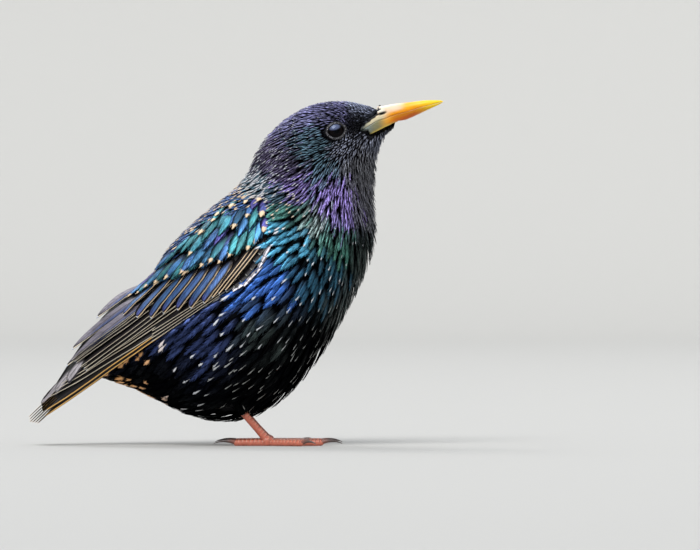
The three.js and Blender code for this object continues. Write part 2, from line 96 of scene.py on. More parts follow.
# The surface that the folded wing lies in, drawn on past the rump to the wing tips.
WING = [
    ((-77.2, 14.8), (-71.5, 9.5), 8),
    ((-73.3, 19), (-65.5, 12.5), 9),
    ((-68.6, 26.5), (-59.3, 16.5), 10.5),
    ((-61.6, 37.4), (-50, 19.9), 13),
    ((-53.8, 48), (-40.6, 19.1), 17),
    ((-45.2, 56.9), (-30.4, 16), 21),
    *BODY[3:10],
]
WING_FIRST = -3  # so that the body's sections in it keep their numbers
GABLE = 0.55  # how far the rear of the back narrows to a ridge under the folded wings
GABLE_END = 4.6  # the section from which it is round

# The bed that the wing lies in: its depth, and where it begins and is full, as in the solids.
BED_DEPTH = 3.0
BED_LOW = (-4 * DEGREE, 7 * DEGREE)
BED_FRONT = (6.9, 7.9)
UNDER_FRONT = (5.5, 6.5)  # feathers slip under the wing behind this, and lie over its bend before it
BED_HIGH = (56 * DEGREE, 72 * DEGREE)
MANTLE = (2.2, 4.2)  # the top of the back begins to lie free at the first section, and does at the second

THIGH = np.array([(-6, 13, 26), (3.4, 12.4, 12.2)])  # its axis on the left side, from top to heel
THIGH_RADII = (7.5, 2.5)
SHANK_TOP = (2.6, 12.4, 13.4)
FOOT = (12.5, 12.0, 1.15)  # where the left toes meet
Toe = namedtuple("Toe", "name turn length thick claw")
TOES = [
    Toe("inner", -27, 14.5, 1.25, 6),
    Toe("middle", 1, 21, 1.35, 8),
    Toe("outer", 29, 15.5, 1.2, 6),
    Toe("hind", 174, 12.5, 1.35, 8.5),
]

# Lines of the bill in the side view: its upper ridge, the line where the halves meet, and its keel.
CULMEN = [(46, 130), (54.2, 131.9), (57.7, 132.4), (61.5, 133.1), (67.7, 133.8), (72.4, 134.4), (76, 134.6),
          (79.8, 134.5), (81, 134)]
TOMIUM = [(44.5, 121), (48.6, 122.4), (54.6, 126.1), (58.2, 127.3), (61.5, 128.6), (66.5, 129.9),
          (71.2, 131.3), (76, 132.6), (80.7, 133.8)]
GONYS = [(45, 118), (52.3, 120.5), (58.7, 123.5), (64, 125.9), (67.7, 127.3), (71.2, 128.9), (74.8, 130.6),
         (78.3, 132.2), (80.5, 133.4)]
BILL_HALF = [6.3, 6.1, 4.9, 3.8, 3.1, 2.5, 1.95, 1.3, 0.45]  # its half width, at even steps
BILL_STATIONS, BILL_SIDES = 110, 41
BASE_COAT = 0.4  # how far the feathers at the bill stand off its horn
BILL_BLUNT = 0.45  # the power that makes the sides of its lower half upright at the base
FEATHERED_AS_FAR_AS = 58.0  # where the feathers over the bill end
NOSTRIL = (56.9, 129.2)

EYE = (39.1, 122.3)  # its place in the side view
LID_RING = (3.35, 2.85)  # half its length along the head and its height

# The folded tail's axis in the side view, and half its width at the end.
TAIL_ROOT = (-46, 44.6)
TAIL_TIP = (-81.3, 10.4)
TAIL_HALF = 8.8


def linear(code):
    """An sRGB hex colour as linear red, green and blue."""
    parts = [int(code[i : i + 2], 16) / 255 for i in (1, 3, 5)]
    return tuple(c / 12.92 if c <= 0.04045 else ((c + 0.055) / 1.055) ** 2.4 for c in parts)


def colour(name, description, code):
    """A colour that the user may change."""
    return bpy.props.FloatVectorProperty(
        name=name, description=description, default=linear(code), subtype="COLOR", size=3, min=0, max=1
    )


def length(name, description, millimetres):
    """A length that the user may change."""
    return bpy.props.FloatProperty(
        name=name, description=description, default=millimetres * MM, min=0, unit="LENGTH", precision=5
    )


class StarlingSizes(bpy.types.PropertyGroup):
    """Sizes of the plumage and of the bare parts."""

    face_coat: length("Face coat", "Depth of the plumage round the bill and eyes", 0.7)
    body_coat: length("Body coat", "Depth of the plumage on the breast, flanks and back", 2.6)
    spacing: bpy.props.FloatProperty(
        name="Spacing", description="Distance between feathers, as a share of the natural one",
        default=1, min=0.5, max=3,
    )
    barb: length("Barb bundles", "Distance between the bundles of barbs that the gloss shows", 0.5)
    pupil: length("Pupil", "Radius of the pupil", 1.35)
    scute: length("Scute", "Length of one scale on the toes", 1.5)


class StarlingColours(bpy.types.PropertyGroup):
    """Colours of the plumage and of the bare parts."""

    lores: colour("Lores", "Velvet black between eye and bill", "#010102")
    crown: colour("Crown", "Dull violet of the crown", "#807eaa")
    forehead: colour("Forehead", "Pale blue grey over the bill", "#b6bedc")
    nape: colour("Nape", "Dull violet of the nape", "#544c66")
    ear: colour("Ear coverts", "Dull blue green behind the eye", "#587886")
    cheek: colour("Cheek", "Blue grey of cheek and chin", "#8a8ea0")
    throat: colour("Throat", "Grey of the throat", "#7a7b81")
    hackle: colour("Hackles", "Bright purple of the neck's hackles", "#a28cd8")
    bronze: colour("Bronze", "Grey green at the side of the neck", "#9cb0a8")
    green: colour("Green", "Green of the upper breast", "#4d8878")
    teal: colour("Teal", "Light blue of the breast's side", "#5aaed2")
    blue: colour("Blue", "Blue of the breast", "#28566e")
    royal: colour("Royal blue", "Bright blue of the flanks", "#4070c6")
    violet: colour("Violet", "Dark violet blue of the rear flanks", "#2f3e6c")
    covert_green: colour("Covert green", "Blue green of the wing's small coverts", "#46949c")
    covert_blue: colour("Covert blue", "Blue of the wing's small coverts", "#457cb0")
    covert_violet: colour("Covert violet", "Violet blue of the front coverts", "#55539c")
    panel: colour("Greater coverts", "Steel blue of the greater coverts", "#41588a")
    silver: colour("Wing tip", "Silver grey of the inner feathers' ends", "#aaa4a8")
    bend: colour("Wing bend", "Whitish feathers at the wing's bend", "#c3bfc6")
    front: colour("Front", "Black green of the breast's middle", "#2b3533")
    black: colour("Belly", "Black of the belly", "#08090a")
    mantle: colour("Mantle", "Blue of the mantle", "#3a5688")
    white: colour("White tips", "Whitish tips of the small feathers", "#dcdfe6")
    dim: colour("Dim streaks", "Grey shaft streaks of the belly", "#8c8e8a")
    buff: colour("Buff tips", "Tips of the back's and wing's feathers", "#f0d3ad")
    rust: colour("Rusty tips", "Tips of the feathers under the tail", "#f0b272")
    cream: colour("Cream edges", "Edges of the flight feathers", "#fbeed6")
    gold: colour("Golden edges", "Edges of the outer flight feathers", "#f0bc6c")
    slate: colour("Tertials", "Violet grey of the tertials", "#807a86")
    flight: colour("Flight feathers", "Brown black of the flight feathers", "#171315")
    bill: colour("Bill", "Orange yellow of the bill", "#ffb206")
    horn: colour("Bill base", "Grey of the bill's base", "#727c78")
    leg: colour("Legs", "Orange red of the legs and toes", "#c8705a")
    claw: colour("Claws", "Grey brown of the claws", "#4d403c")
    iris: colour("Iris", "Dark brown of the iris", "#0c0706")
    floor: colour("Floor", "Pale floor and backdrop", "#bdbcb8")


def sizes():
    """The size settings."""
    return bpy.context.scene.starling_sizes


def colours():
    """The colour settings."""
    return bpy.context.scene.starling_colours


def paint(name):
    """A colour setting as an array."""
    return np.array(getattr(colours(), name), float)


def circle(count):
    """Angles all the way round."""
    return np.linspace(0, 2 * math.pi, count, endpoint=False)


def opaque(tint):
    """Rows of colours with a fourth number of 1."""
    return np.hstack([tint, np.ones((len(tint), 1))])


def fixed(code):
    """A colour that has no setting, as an array."""
    return np.array(linear(code))


def smooth(low, high, x):
    """0 below low, 1 above high and a smooth step between."""
    t = np.clip((np.asarray(x, float) - low) / (high - low), 0, 1)
    return t * t * (3 - 2 * t)


def mix(a, b, t):
    """a where t is 0 and b where it is 1."""
    return a + (b - a) * t


def unit(v):
    """Vectors at length 1."""
    return v / np.maximum(np.linalg.norm(v, axis=-1, keepdims=True), 1e-12)


def height_at(line, x):
    """The second number of a line's points at x."""
    return np.interp(x, *np.array(line, float).T)


def spline(points, share):
    """Points of a Catmull-Rom curve through points, at shares of its length in steps."""
    points = np.asarray(points, float)
    last = len(points) - 1
    place = np.clip(np.asarray(share, float), 0, 1) * last
    i = np.clip(np.floor(place).astype(int), 0, last)
    t = (place - i)[..., None]
    p0, p1, p2, p3 = (points[np.clip(i + k, 0, last)] for k in (-1, 0, 1, 2))
    p3 = np.where((i > last - 2)[..., None], points[last], p3)
    v0, v1 = (p2 - p0) / 2, (p3 - p1) / 2
    return (2 * p1 - 2 * p2 + v0 + v1) * t**3 + (-3 * p1 + 3 * p2 - 2 * v0 - v1) * t**2 + v0 * t + p1


class Form:
    """A smooth surface through sections. along runs from first, one for each section, and round is the angle
    about the section: 0 at the widest place on the left, a quarter turn at the back."""

    def __init__(self, sections, first=0, gable=0.0):
        self.first, self.gable = first, gable
        self.last = first + len(sections) - 1
        share = np.linspace(0, 1, 1201)
        rows = [(*back, *belly, half) for back, belly, half in sections]
        self.places = self.first + share * (self.last - self.first)
        self.rows = spline(rows, share).T

    def section(self, along):
        """The middle of a section, the way from there to its back, and its half width."""
        back_x, back_z, belly_x, belly_z, half = (np.interp(along, self.places, row) for row in self.rows)
        back, belly = np.stack([back_x, back_z], -1), np.stack([belly_x, belly_z], -1)
        return (back + belly) / 2, (back - belly) / 2, half

    def point(self, along, turn, lift=0.0):
        """Points lift millimetres outside the surface."""
        middle, up, half = self.section(along)
        rise = (1 + lift / np.linalg.norm(up, axis=-1)) * np.sin(turn)
        ridge = self.gable * (1 - smooth(0, GABLE_END, along)) * np.maximum(0, np.sin(turn))
        side = np.cos(turn) * np.abs(np.cos(turn)) ** ridge
        x, z = (middle[..., k] + up[..., k] * rise for k in (0, 1))
        return np.stack([x, (half + lift) * side, z], -1)

    def locate(self, x, z):
        """Where points of the side view lie: along, and how far from the middle to the back, from -1 to 1."""
        x, z = np.asarray(x, float), np.asarray(z, float)
        low, high = np.full(x.shape, float(self.first)), np.full(x.shape, float(self.last))
        for _ in range(26):
            along = (low + high) / 2
            middle, up, _half = self.section(along)
            ahead = (x - middle[..., 0]) * up[..., 1] - (z - middle[..., 1]) * up[..., 0] > 0
            low, high = np.where(ahead, along, low), np.where(ahead, high, along)
        middle, up, _half = self.section(low)
        share = ((x - middle[..., 0]) * up[..., 0] + (z - middle[..., 1]) * up[..., 1]) / (up**2).sum(-1)
        return low, share

    def on(self, x, z):
        """The left side's point and outward direction at places of the side view."""
        along, share = self.locate(x, z)
        turn = np.arcsin(np.clip(share, -0.995, 0.995))
        step = 0.02
        a = self.point(along + step, turn) - self.point(along - step, turn)
        b = self.point(along, turn + step) - self.point(along, turn - step)
        out = unit(np.cross(a, b))
        point = self.point(along, turn)
        flip = ((self.point(along, turn, 1.0) - point) * out).sum(-1) < 0
        return point, np.where(flip[..., None], -out, out)


body_form = Form(BODY, gable=GABLE)
head_form = Form(HEAD)
fold_form = Form(WING, first=WING_FIRST, gable=GABLE)


def bed(points, front=BED_FRONT):
    """How far points of the body lie in the wing's bed, from 0 to 1."""
    along, share = body_form.locate(points[:, 0], points[:, 2])
    side = np.arcsin(np.clip(share, -1, 1))
    full = smooth(*BED_LOW, side) * (1 - smooth(*front, along))
    return full * (1 - smooth(*BED_HIGH, side) * smooth(*MANTLE, along))


# What the plumage is like round each place of the side view. lie is the angle in which feathers point, from
# +X up. length and width are a feather's, spacing is the distance to the next one, and loose is how far its
# tip may stand off, in millimetres. tips is the share of feathers with a pale spot at the tip, tip and spot
# are how far it reaches along and to both sides, and tone is its colour.
Region = namedtuple(
    "Region", "name x z reach paint lie length width spacing loose tips tip spot tone", defaults=("white",)
)
PLUMAGE = [Region(*row) for row in (
    ("lores", 47.5, 125.6, 4.9, "lores", 192, 1.9, 0.50, 0.60, 0.1, 0, 0, 0.14),
    ("lores at the bill", 54, 128.1, 3.0, "lores", 196, 1.7, 0.45, 0.52, 0.1, 0, 0, 0.14),
    ("forehead", 49, 132, 4, "forehead", 188, 2.1, 0.48, 0.64, 0.1, 0, 0, 0.14),
    ("over the eye", 39.5, 126.3, 2.3, "lores", 185, 2.2, 0.50, 0.66, 0.1, 0, 0, 0.14),
    ("brow", 39, 128.9, 4, "crown", 183, 2.8, 0.54, 0.78, 0.15, 0.1, 0.5, 0.17),
    ("crown", 30, 132, 8, "crown", 191, 3.8, 0.62, 0.96, 0.2, 0.06, 0.5, 0.17),
    ("hind crown", 20, 126, 8, "crown", 213, 5.0, 0.74, 1.12, 0.3, 0.12, 0.88, 0.2),
    ("nape", 10, 114, 9, "nape", 231, 7.5, 0.85, 1.15, 0.7, 0.45, 1.3, 0.28),
    ("ear coverts", 27, 118, 7, "ear", 196, 4.8, 0.66, 1.0, 0.2, 0.06, 0.5, 0.17),
    ("cheek", 42, 115, 5, "cheek", 222, 2.9, 0.56, 0.8, 0.2, 0.1, 0.5, 0.2),
    ("chin", 55, 118, 6, "cheek", 238, 3.6, 0.56, 0.88, 0.7, 0, 0, 0.14),
    ("chin at the bill", 60.5, 123, 2.6, "lores", 222, 2.6, 0.5, 0.62, 0.2, 0, 0, 0.14),
    ("throat", 50, 106, 8, "throat", 266, 7.5, 0.72, 1.05, 1.3, 0.03, 0.5, 0.17),
    ("side of neck", 20, 108, 7, "nape", 216, 7.5, 0.88, 1.2, 0.5, 0.5, 1.4, 0.24),
    ("side hackles", 22, 100, 6, "hackle", 219, 8.5, 0.92, 1.25, 0.4, 0.2, 1.2, 0.24),
    ("blue hackles", 34, 104, 6, "ear", 236, 8.0, 0.92, 1.25, 0.4, 0.05, 0.75, 0.21),
    ("hackles", 36, 98, 6, "hackle", 244, 9.5, 1.0, 1.35, 0.5, 0.04, 0.75, 0.21),
    ("purple hackles", 39, 91, 8, "hackle", 256, 10.5, 1.1, 1.5, 0.6, 0.04, 0.75, 0.21),
    ("front hackles", 52, 92, 7, "throat", 272, 11.0, 0.95, 1.4, 1.6, 0, 0, 0.14),
    ("shoulder", 21, 91, 6, "green", 222, 10.5, 1.8, 2.3, 0.3, 0.3, 1.6, 0.7, "buff"),
    ("bronze patch", 31, 87, 6.5, "bronze", 230, 10.5, 2.3, 2.7, 0.3, 0.15, 1.5, 0.56),
    ("upper breast", 39, 79, 7, "green", 245, 12.5, 1.8, 2.5, 0.4, 0.12, 1.4, 0.35),
    ("breast front", 52, 76, 8, "front", 264, 12.0, 1.5, 2.3, 1.3, 0.1, 1.2, 0.28),
    ("side of breast", 20, 78, 8, "teal", 216, 14.5, 2.5, 3.2, 0.3, 0.3, 2.5, 0.49),
    ("breast", 33, 64, 8, "blue", 237, 14.5, 2.4, 3.2, 0.3, 0.4, 2.8, 0.35),
    ("low breast front", 45, 54, 9, "front", 248, 14.5, 2.2, 3.1, 0.6, 0.2, 2.5, 0.22, "dim"),
    ("flank", 12, 62, 9, "royal", 218, 16.0, 2.7, 3.5, 0.3, 0.24, 3.4, 0.59),
    ("rear flank", -12, 41, 10, "violet", 222, 16.0, 2.7, 3.5, 0.3, 0.36, 4.2, 0.81),
    ("low flank", 12, 44, 9, "front", 224, 16.0, 2.7, 3.6, 0.3, 0.5, 3.2, 0.35),
    ("hind flank", -22, 27, 8, "black", 224, 15.0, 2.7, 3.5, 0.3, 0.14, 4, 0.59),
    ("belly", 27, 38, 11, "black", 235, 16.0, 2.6, 3.6, 0.4, 0.6, 3.5, 0.18, "dim"),
    ("low belly", 5, 24, 13, "black", 220, 16.0, 2.8, 3.7, 0.4, 0.6, 3.5, 0.25, "dim"),
    ("vent", -37, 24, 8, "black", 216, 12.0, 3.2, 3.2, 0.3, 0.36, 4.4, 2.7, "rust"),
    ("mantle band", 8, 102, 4.5, "ear", 220, 6.0, 1.2, 1.4, 0.3, 0.9, 2.0, 0.85),
    ("collar", 17, 97, 3.5, "ear", 217, 6.5, 1.2, 1.4, 0.3, 0.9, 2.1, 0.85),
    ("mantle", -8, 91, 9, "mantle", 219, 9.5, 1.7, 2.0, 0.3, 0.55, 2.4, 0.53, "buff"),
    ("back", -28, 73, 12, "mantle", 223, 11.0, 1.9, 2.3, 0.3, 0.5, 2.6, 0.56, "buff"),
    ("rump", -48, 48, 10, "violet", 228, 12.0, 2.6, 2.7, 0.3, 0.3, 1.8, 0.7, "rust"),
)]
SMALL = ["lores", "lores at the bill", "chin at the bill", "over the eye", "forehead", "brow", "crown",
         "hind crown", "ear coverts", "cheek", "chin"]
HACKLED = ["nape", "throat", "side of neck", "side hackles", "blue hackles", "hackles", "purple hackles",
           "front hackles", "mantle band", "collar"]

# The bare bill in the side view, as far as feathers leave it free.
BARE = [(54, 140), (54, 131.5), (56.9, 131.1), (55.2, 129.9), (55.4, 128.5), (51.4, 125.5), (47.9, 122.6),
        (52.1, 121.9), (52.6, 120.2), (58.7, 123.2), (63.9, 125.7), (90, 130), (90, 140)]
FEATHER_EDGE = [(46, 121.6), (47.8, 122.3), (52.1, 125.9), (55.9, 128.2), (58.2, 129.3), (60, 131)]
# The folded wing's lower edge in the side view. Feathers start as far as WING_COVER above it.
WING_LOW = [(-75, 13), (-54, 22.6), (-45, 30), (-33.5, 39.8), (-21.8, 48), (-0.8, 62), (6, 69), (10, 76),
            (13, 82)]
WING_COVER = 7.0
# The front of the wing, which the breast's feathers may reach but not cover.
BEND = [(13, 97), (13.5, 83), (11, 76), (6.5, 69), (0, 62.5), (-2, 66), (-2, 90)]


@functools.lru_cache(maxsize=None)
def column(name):
    """One number of every region of the plumage."""
    return np.array([getattr(region, name) for region in PLUMAGE], float)


def shares(points):
    """How much each region has to say at points, a row each that adds up to 1."""
    x, z = points[:, 0, None], points[:, 2, None]
    far = ((x - column("x")) ** 2 + (z - column("z")) ** 2) / column("reach") ** 2
    near = np.exp(-(far - far.min(1, keepdims=True)))
    return near / near.sum(1, keepdims=True)


def plumage_paint(points):
    """The plumage's own colour at points."""
    return shares(points) @ np.array([paint(region.paint) for region in PLUMAGE])


LORES_AHEAD = 6.0  # how far before the eye the coat is thinnest
FACE_REACH = (6, 42)  # how far the thinnest coat reaches from there, and where the deepest begins


def coat_depth(points):
    """How deep the skin lies under the outline of the plumage."""
    far = np.hypot(points[:, 0] - EYE[0] - LORES_AHEAD, points[:, 2] - EYE[1])
    return mix(sizes().face_coat, sizes().body_coat, smooth(*FACE_REACH, far)) / MM


def face_loft(rings):
    """Four-cornered faces round a tube of rings of as many points each, and its two ends."""
    count, sides = rings
    i, j = np.meshgrid(np.arange(count - 1), np.arange(sides), indexing="ij")
    a, b = i * sides + j, i * sides + (j + 1) % sides
    quads = np.stack([a, b, b + sides, a + sides], -1).reshape(-1, 4)
    fan = np.arange(1, sides - 1)
    first = np.stack([np.zeros_like(fan), fan + 1, fan], -1)
    last = np.stack([np.zeros_like(fan), fan, fan + 1], -1) + (count - 1) * sides
    return quads, np.concatenate([first, last])


def outwards(points, faces):
    """The faces, turned round if the closed body that they make is inside out."""
    quads, triangles = faces
    every = np.concatenate([quads[:, [0, 1, 2]], quads[:, [0, 2, 3]], triangles])
    a, b, c = (points[every[:, k]] for k in range(3))
    if (a * np.cross(b, c)).sum() < 0:
        return quads[:, ::-1], triangles[:, ::-1]
    return faces


def new_object(name, data):
    """An object in the scene."""
    made = bpy.data.objects.new(name, data)
    bpy.context.scene.collection.objects.link(made)
    return made


def add_mesh(name, points, faces, maps=None, paints=None):
    """A smooth-shaded mesh from points in millimetres. maps and paints are rows of each point's numbers."""
    counts = np.concatenate([np.full(len(f), f.shape[1]) for f in faces])
    corners = np.concatenate([f.ravel() for f in faces]).astype(np.int32)
    starts = np.concatenate([[0], np.cumsum(counts)[:-1]]).astype(np.int32)
    mesh = bpy.data.meshes.new(name)
    mesh.vertices.add(len(points))
    mesh.vertices.foreach_set("co", (points * MM).astype(np.float32).ravel())
    mesh.loops.add(len(corners))
    mesh.loops.foreach_set("vertex_index", corners)
    mesh.polygons.add(len(counts))
    mesh.polygons.foreach_set("loop_start", starts)
    mesh.update(calc_edges=True)
    for title, rows in (maps or {}).items():
        layer = mesh.uv_layers.new(name=title, do_init=False)
        layer.uv.foreach_set("vector", np.asarray(rows)[corners].astype(np.float32).ravel())
    for title, rows in (paints or {}).items():
        layer = mesh.attributes.new(title, "FLOAT_COLOR", "POINT")
        layer.data.foreach_set("color", np.asarray(rows).astype(np.float32).ravel())
    mesh.shade_smooth()
    return new_object(name, mesh)


def dress(made, material, slot, *nodes):
    """Gives a piece its material, lets it ride on the body, and hides the solids that it stands for."""
    made.data.materials.append(material)
    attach(made, BODY_NAME)
    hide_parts(*nodes)
    return made


def evaluated(made):
    """The points, in millimetres, and the faces' corners of an object with its modifiers applied."""
    mesh = made.evaluated_get(bpy.context.evaluated_depsgraph_get()).to_mesh()
    points = np.empty(len(mesh.vertices) * 3, np.float32)
    mesh.vertices.foreach_get("co", points)
    faces = [tuple(face.vertices) for face in mesh.polygons]
    return points.reshape(-1, 3).astype(float) / MM, faces


Surface = namedtuple("Surface", "points normals faces tree")


def thigh_rings():
    """A left thigh as rings of a tube."""
    share = np.linspace(0, 1, 14)
    axis = mix(*THIGH, share[:, None])
    return tube(axis, mix(*THIGH_RADII, share), 24)


def bill_base():
    """The feathered base of the upper bill as rings, a little larger than the horn, down to its edge."""
    points, _faces, place = bill_half(CULMEN, 1)
    middle_x = points[:, 0].reshape(-1, BILL_SIDES).mean(1)
    count = int((middle_x < FEATHERED_AS_FAR_AS).sum())
    points, up = points[: count * BILL_SIDES], place[: count * BILL_SIDES, 1]
    half = np.abs(points[:, 1]).reshape(-1, BILL_SIDES).max(1)
    points[:, 1] *= 1 + BASE_COAT / np.maximum(half, 1).repeat(BILL_SIDES)
    points[:, 2] += BASE_COAT * up
    points[:, 2] = np.maximum(points[:, 2], height_at(FEATHER_EDGE, points[:, 0]))
    return points, face_loft((count, BILL_SIDES))


def ease(made, times):
    """Smooths a mesh by a modifier."""
    modifier = made.modifiers.new("eased", "SMOOTH")
    modifier.factor, modifier.iterations = 0.5, times


VOXEL = 0.75  # how fine the outline is, in millimetres


@functools.lru_cache(maxsize=None)
def outline():
    """The surface that the tips of the body's feathers reach: body, head and thighs grown together."""
    blocks = []
    for form, lengthwise, sides in ((body_form, 90, 72), (head_form, 60, 64)):
        along = np.linspace(form.first, form.last, lengthwise)[:, None]
        turn = circle(sides)[None, :]
        rings = form.point(along + 0 * turn, turn + 0 * along).reshape(-1, 3)
        blocks.append((rings, face_loft((lengthwise, sides))))
    thigh, thigh_faces = thigh_rings()
    blocks += [(thigh, thigh_faces), (thigh * (1, -1, 1), thigh_faces), bill_base()]
    points, quads, ends, base = [], [], [], 0
    for block, faces in blocks:
        block_quads, block_ends = outwards(block, faces)
        points.append(block)
        quads.append(block_quads + base)
        ends.append(block_ends + base)
        base += len(block)
    made = add_mesh("outline", np.concatenate(points), [np.concatenate(quads), np.concatenate(ends)])
    remesh = made.modifiers.new("grown together", "REMESH")
    remesh.mode, remesh.voxel_size = "VOXEL", VOXEL * MM
    ease(made, 8)
    points, faces = evaluated(made)
    bpy.data.objects.remove(made)
    return surface_of(points, faces)


def surface_of(points, faces):
    """Points and four-cornered faces with their outward directions, ready to be searched."""
    corners = np.array([f if len(f) == 4 else f + f[-1:] for f in faces])
    a, b, c, d = (points[corners[:, k]] for k in range(4))
    normals = np.zeros_like(points)
    for k in range(4):
        np.add.at(normals, corners[:, k], np.cross(c - a, d - b))
    return Surface(points, unit(normals), corners, BVHTree.FromPolygons(points.tolist(), faces))


def settle(surface, points):
    """The nearest places of a surface, with their smoothed outward directions."""
    found = [surface.tree.find_nearest(p) for p in points.tolist()]
    places = np.array([f[0] for f in found])
    corners = surface.faces[[f[2] for f in found]]
    near = 1 / (np.linalg.norm(surface.points[corners] - places[:, None], axis=2) + 0.05)
    return places, unit((surface.normals[corners] * near[..., None]).sum(1))


def near_thigh(points):
    """How far points belong to the thighs' tufts, from 0 to 1."""
    top, low = THIGH
    away = points * (1, 0, 1) + (0, 1, 0) * np.abs(points[:, 1:2]) - top
    axis = low - top
    share = np.clip(away @ axis / (axis @ axis), 0, 1)
    far = np.linalg.norm(away - share[:, None] * axis, axis=1) - mix(*THIGH_RADII, share)
    # The tufts cover the lower part of the thigh, and end within 1.5 mm of its outline.
    return (1 - smooth(0.3, 1.5, far)) * smooth(0.35, 0.6, share)


def inside(points, corners):
    """Whether points of the side view lie in a polygon."""
    x, z = points[:, 0], points[:, 2]
    odd = np.zeros(len(points), bool)
    for (x0, z0), (x1, z1) in zip(corners, corners[1:] + corners[:1]):
        if z0 != z1:
            odd ^= ((z0 > z) != (z1 > z)) & (x < x0 + (z - z0) * (x1 - x0) / (z1 - z0))
    return odd


def side_lie(points):
    """The direction in which the feathers point in the side view."""
    angles = column("lie") * DEGREE
    return unit(shares(points) @ np.stack([np.cos(angles), np.zeros_like(angles), np.sin(angles)], 1))


ANY_LENGTH = 99.0  # farther than any feather reaches


def bend_room(points):
    """How far feathers can run before they would cover the front of the wing."""
    heading = side_lie(points)
    room = np.full(len(points), ANY_LENGTH)
    # The nearest place comes last, so it stays.
    for step in np.arange(18, -0.1, -0.6):
        room[inside(points + heading * step, BEND)] = step
    return room


EYE_PARTS = (3.8, 8.5)  # within the first distance of the eye feathers run round it, beyond the second freely


def lie(points, normals):
    """The direction in which the feathers point at places of the outline."""
    axis = unit(THIGH[1] - THIGH[0])
    flat = mix(side_lie(points), axis, near_thigh(points)[:, None])
    to_eye = np.stack([EYE[0] - points[:, 0], 0 * points[:, 0], EYE[1] - points[:, 2]], 1)
    far = np.linalg.norm(to_eye, axis=1, keepdims=True)
    on_way = np.maximum((flat * to_eye).sum(1, keepdims=True) / far, 0)
    flat = flat - to_eye / far * on_way * (1 - smooth(*EYE_PARTS, far))
    return unit(flat - (flat * normals).sum(1, keepdims=True) * normals)


TRIES = 6  # how many places are tried for each one that is wanted
CLOSEST = 0.85  # the least distance, as a share of the wanted one


def scatter(surface, spacing, keep, stretch, seed):
    """Places on a surface about spacing apart, where keep lets them be. Both are functions of points. stretch
    is how much farther apart they are along the lie of the feathers than across it."""
    rng = np.random.default_rng(seed)
    corners = np.concatenate([surface.faces[:, [0, 1, 2]], surface.faces[:, [0, 2, 3]]])
    a, b, c = (surface.points[corners[:, k]] for k in range(3))
    middle = (a + b + c) / 3
    wanted = np.where(keep(middle), 1 / spacing(middle) ** 2, 0)
    cross = np.cross(b - a, c - a)
    load = np.linalg.norm(cross, axis=1) / 2 * wanted
    chosen = np.searchsorted(np.cumsum(load), rng.random(int(load.sum() * TRIES)) * load.sum())
    u, v = rng.random((2, len(chosen), 1))
    u, v = np.where(u + v > 1, 1 - u, u), np.where(u + v > 1, 1 - v, v)
    points = a[chosen] + (b - a)[chosen] * u + (c - a)[chosen] * v
    heading = lie(points, unit(cross[chosen]))
    reach = spacing(points) * CLOSEST
    tree = KDTree(len(points))
    for i, p in enumerate(points.tolist()):
        tree.insert(p, i)
    tree.balance()
    free = np.ones(len(points), bool)
    kept = []
    for i, p in enumerate(points.tolist()):
        if free[i]:
            kept.append(i)
            near = np.array([j for _place, j, _far in tree.find_range(p, reach[i] * math.sqrt(stretch))])
            away = points[near] - points[i]
            along = away @ heading[i]
            across = (away**2).sum(1) - along**2
            free[near[along**2 / stretch + across * stretch < reach[i] ** 2]] = False
    return points[kept]


def tube(path, radii, sides, shape=None):
    """A closed tube round a path. shape gives a factor of the radius for each share of length and turn."""
    path = np.asarray(path, float)
    ahead = unit(np.gradient(path, axis=0))
    side = np.cross((0, 0, 1), ahead)
    side = unit(np.where(np.linalg.norm(side, axis=1, keepdims=True) < 1e-3, (0, 1, 0), side))
    up = np.cross(ahead, side)
    turn = (np.arange(sides) + 0.5) / sides * 2 * math.pi
    share = np.linspace(0, 1, len(path))[:, None]
    scale = np.asarray(radii, float)[:, None] * (1 if shape is None else shape(share, turn[None, :]))
    rings = side[:, None] * (scale * np.cos(turn))[..., None]
    rings += up[:, None] * (scale * np.sin(turn))[..., None]
    return (path[:, None] + rings).reshape(-1, 3), face_loft((len(path), sides))


class Heap:
    """Many closed bodies of one mesh, with each point's numbers for its maps and paints. Points are kept at
    least as far to the left as least."""

    def __init__(self, least=-math.inf):
        self.points, self.quads, self.triangles, self.rows, self.count = [], [], [], {}, 0
        self.least = least

    def add(self, points, faces, **rows):
        """Adds a batch. rows holds an array for each title, with a row for each point."""
        quads, triangles = outwards(points, faces)
        points[:, 1] = np.maximum(points[:, 1], self.least)
        self.points.append(points)
        self.quads.append(quads + self.count)
        self.triangles.append(triangles + self.count)
        for title, row in rows.items():
            self.rows.setdefault(title, []).append(np.broadcast_to(row, (len(points), np.shape(row)[-1])))
        self.count += len(points)

    def mesh(self, name):
        """The mesh of all that was added. Rows of two numbers are maps, and rows of four are paints."""
        rows = {title: np.concatenate(parts) for title, parts in self.rows.items()}
        maps = {title: row for title, row in rows.items() if row.shape[1] == 2}
        paints = {title: row for title, row in rows.items() if row.shape[1] == 4}
        faces = [np.concatenate(self.quads), np.concatenate(self.triangles)]
        return add_mesh(name, np.concatenate(self.points), faces, maps, paints)


# Half outlines of feathers: share of the length, share of the half width.
SPEAR = [(0, 0.3), (0.25, 0.75), (0.5, 1), (0.7, 0.93), (0.83, 0.7), (0.93, 0.38), (1, 0.05)]
HACKLE = [(0, 0.5), (0.25, 0.95), (0.5, 1), (0.72, 0.78), (0.9, 0.4), (1, 0.05)]
TUFT = [(0, 0.6), (0.35, 1), (0.7, 0.8), (1, 0.1)]
# Sections of a feather: share of the half width, and height as a share of the camber.
KEELED = [(-1, 0), (-0.45, 0.8), (0, 1), (0.45, 0.8), (1, 0), (0, -0.35)]
ROUND = [(-1, 0), (0, 1), (1, 0), (0, -0.5)]
PATCH = 0.003  # size of one feather on the OFBake map
COAT_SECTIONS = 24  # how many sections the coat's maps reach over


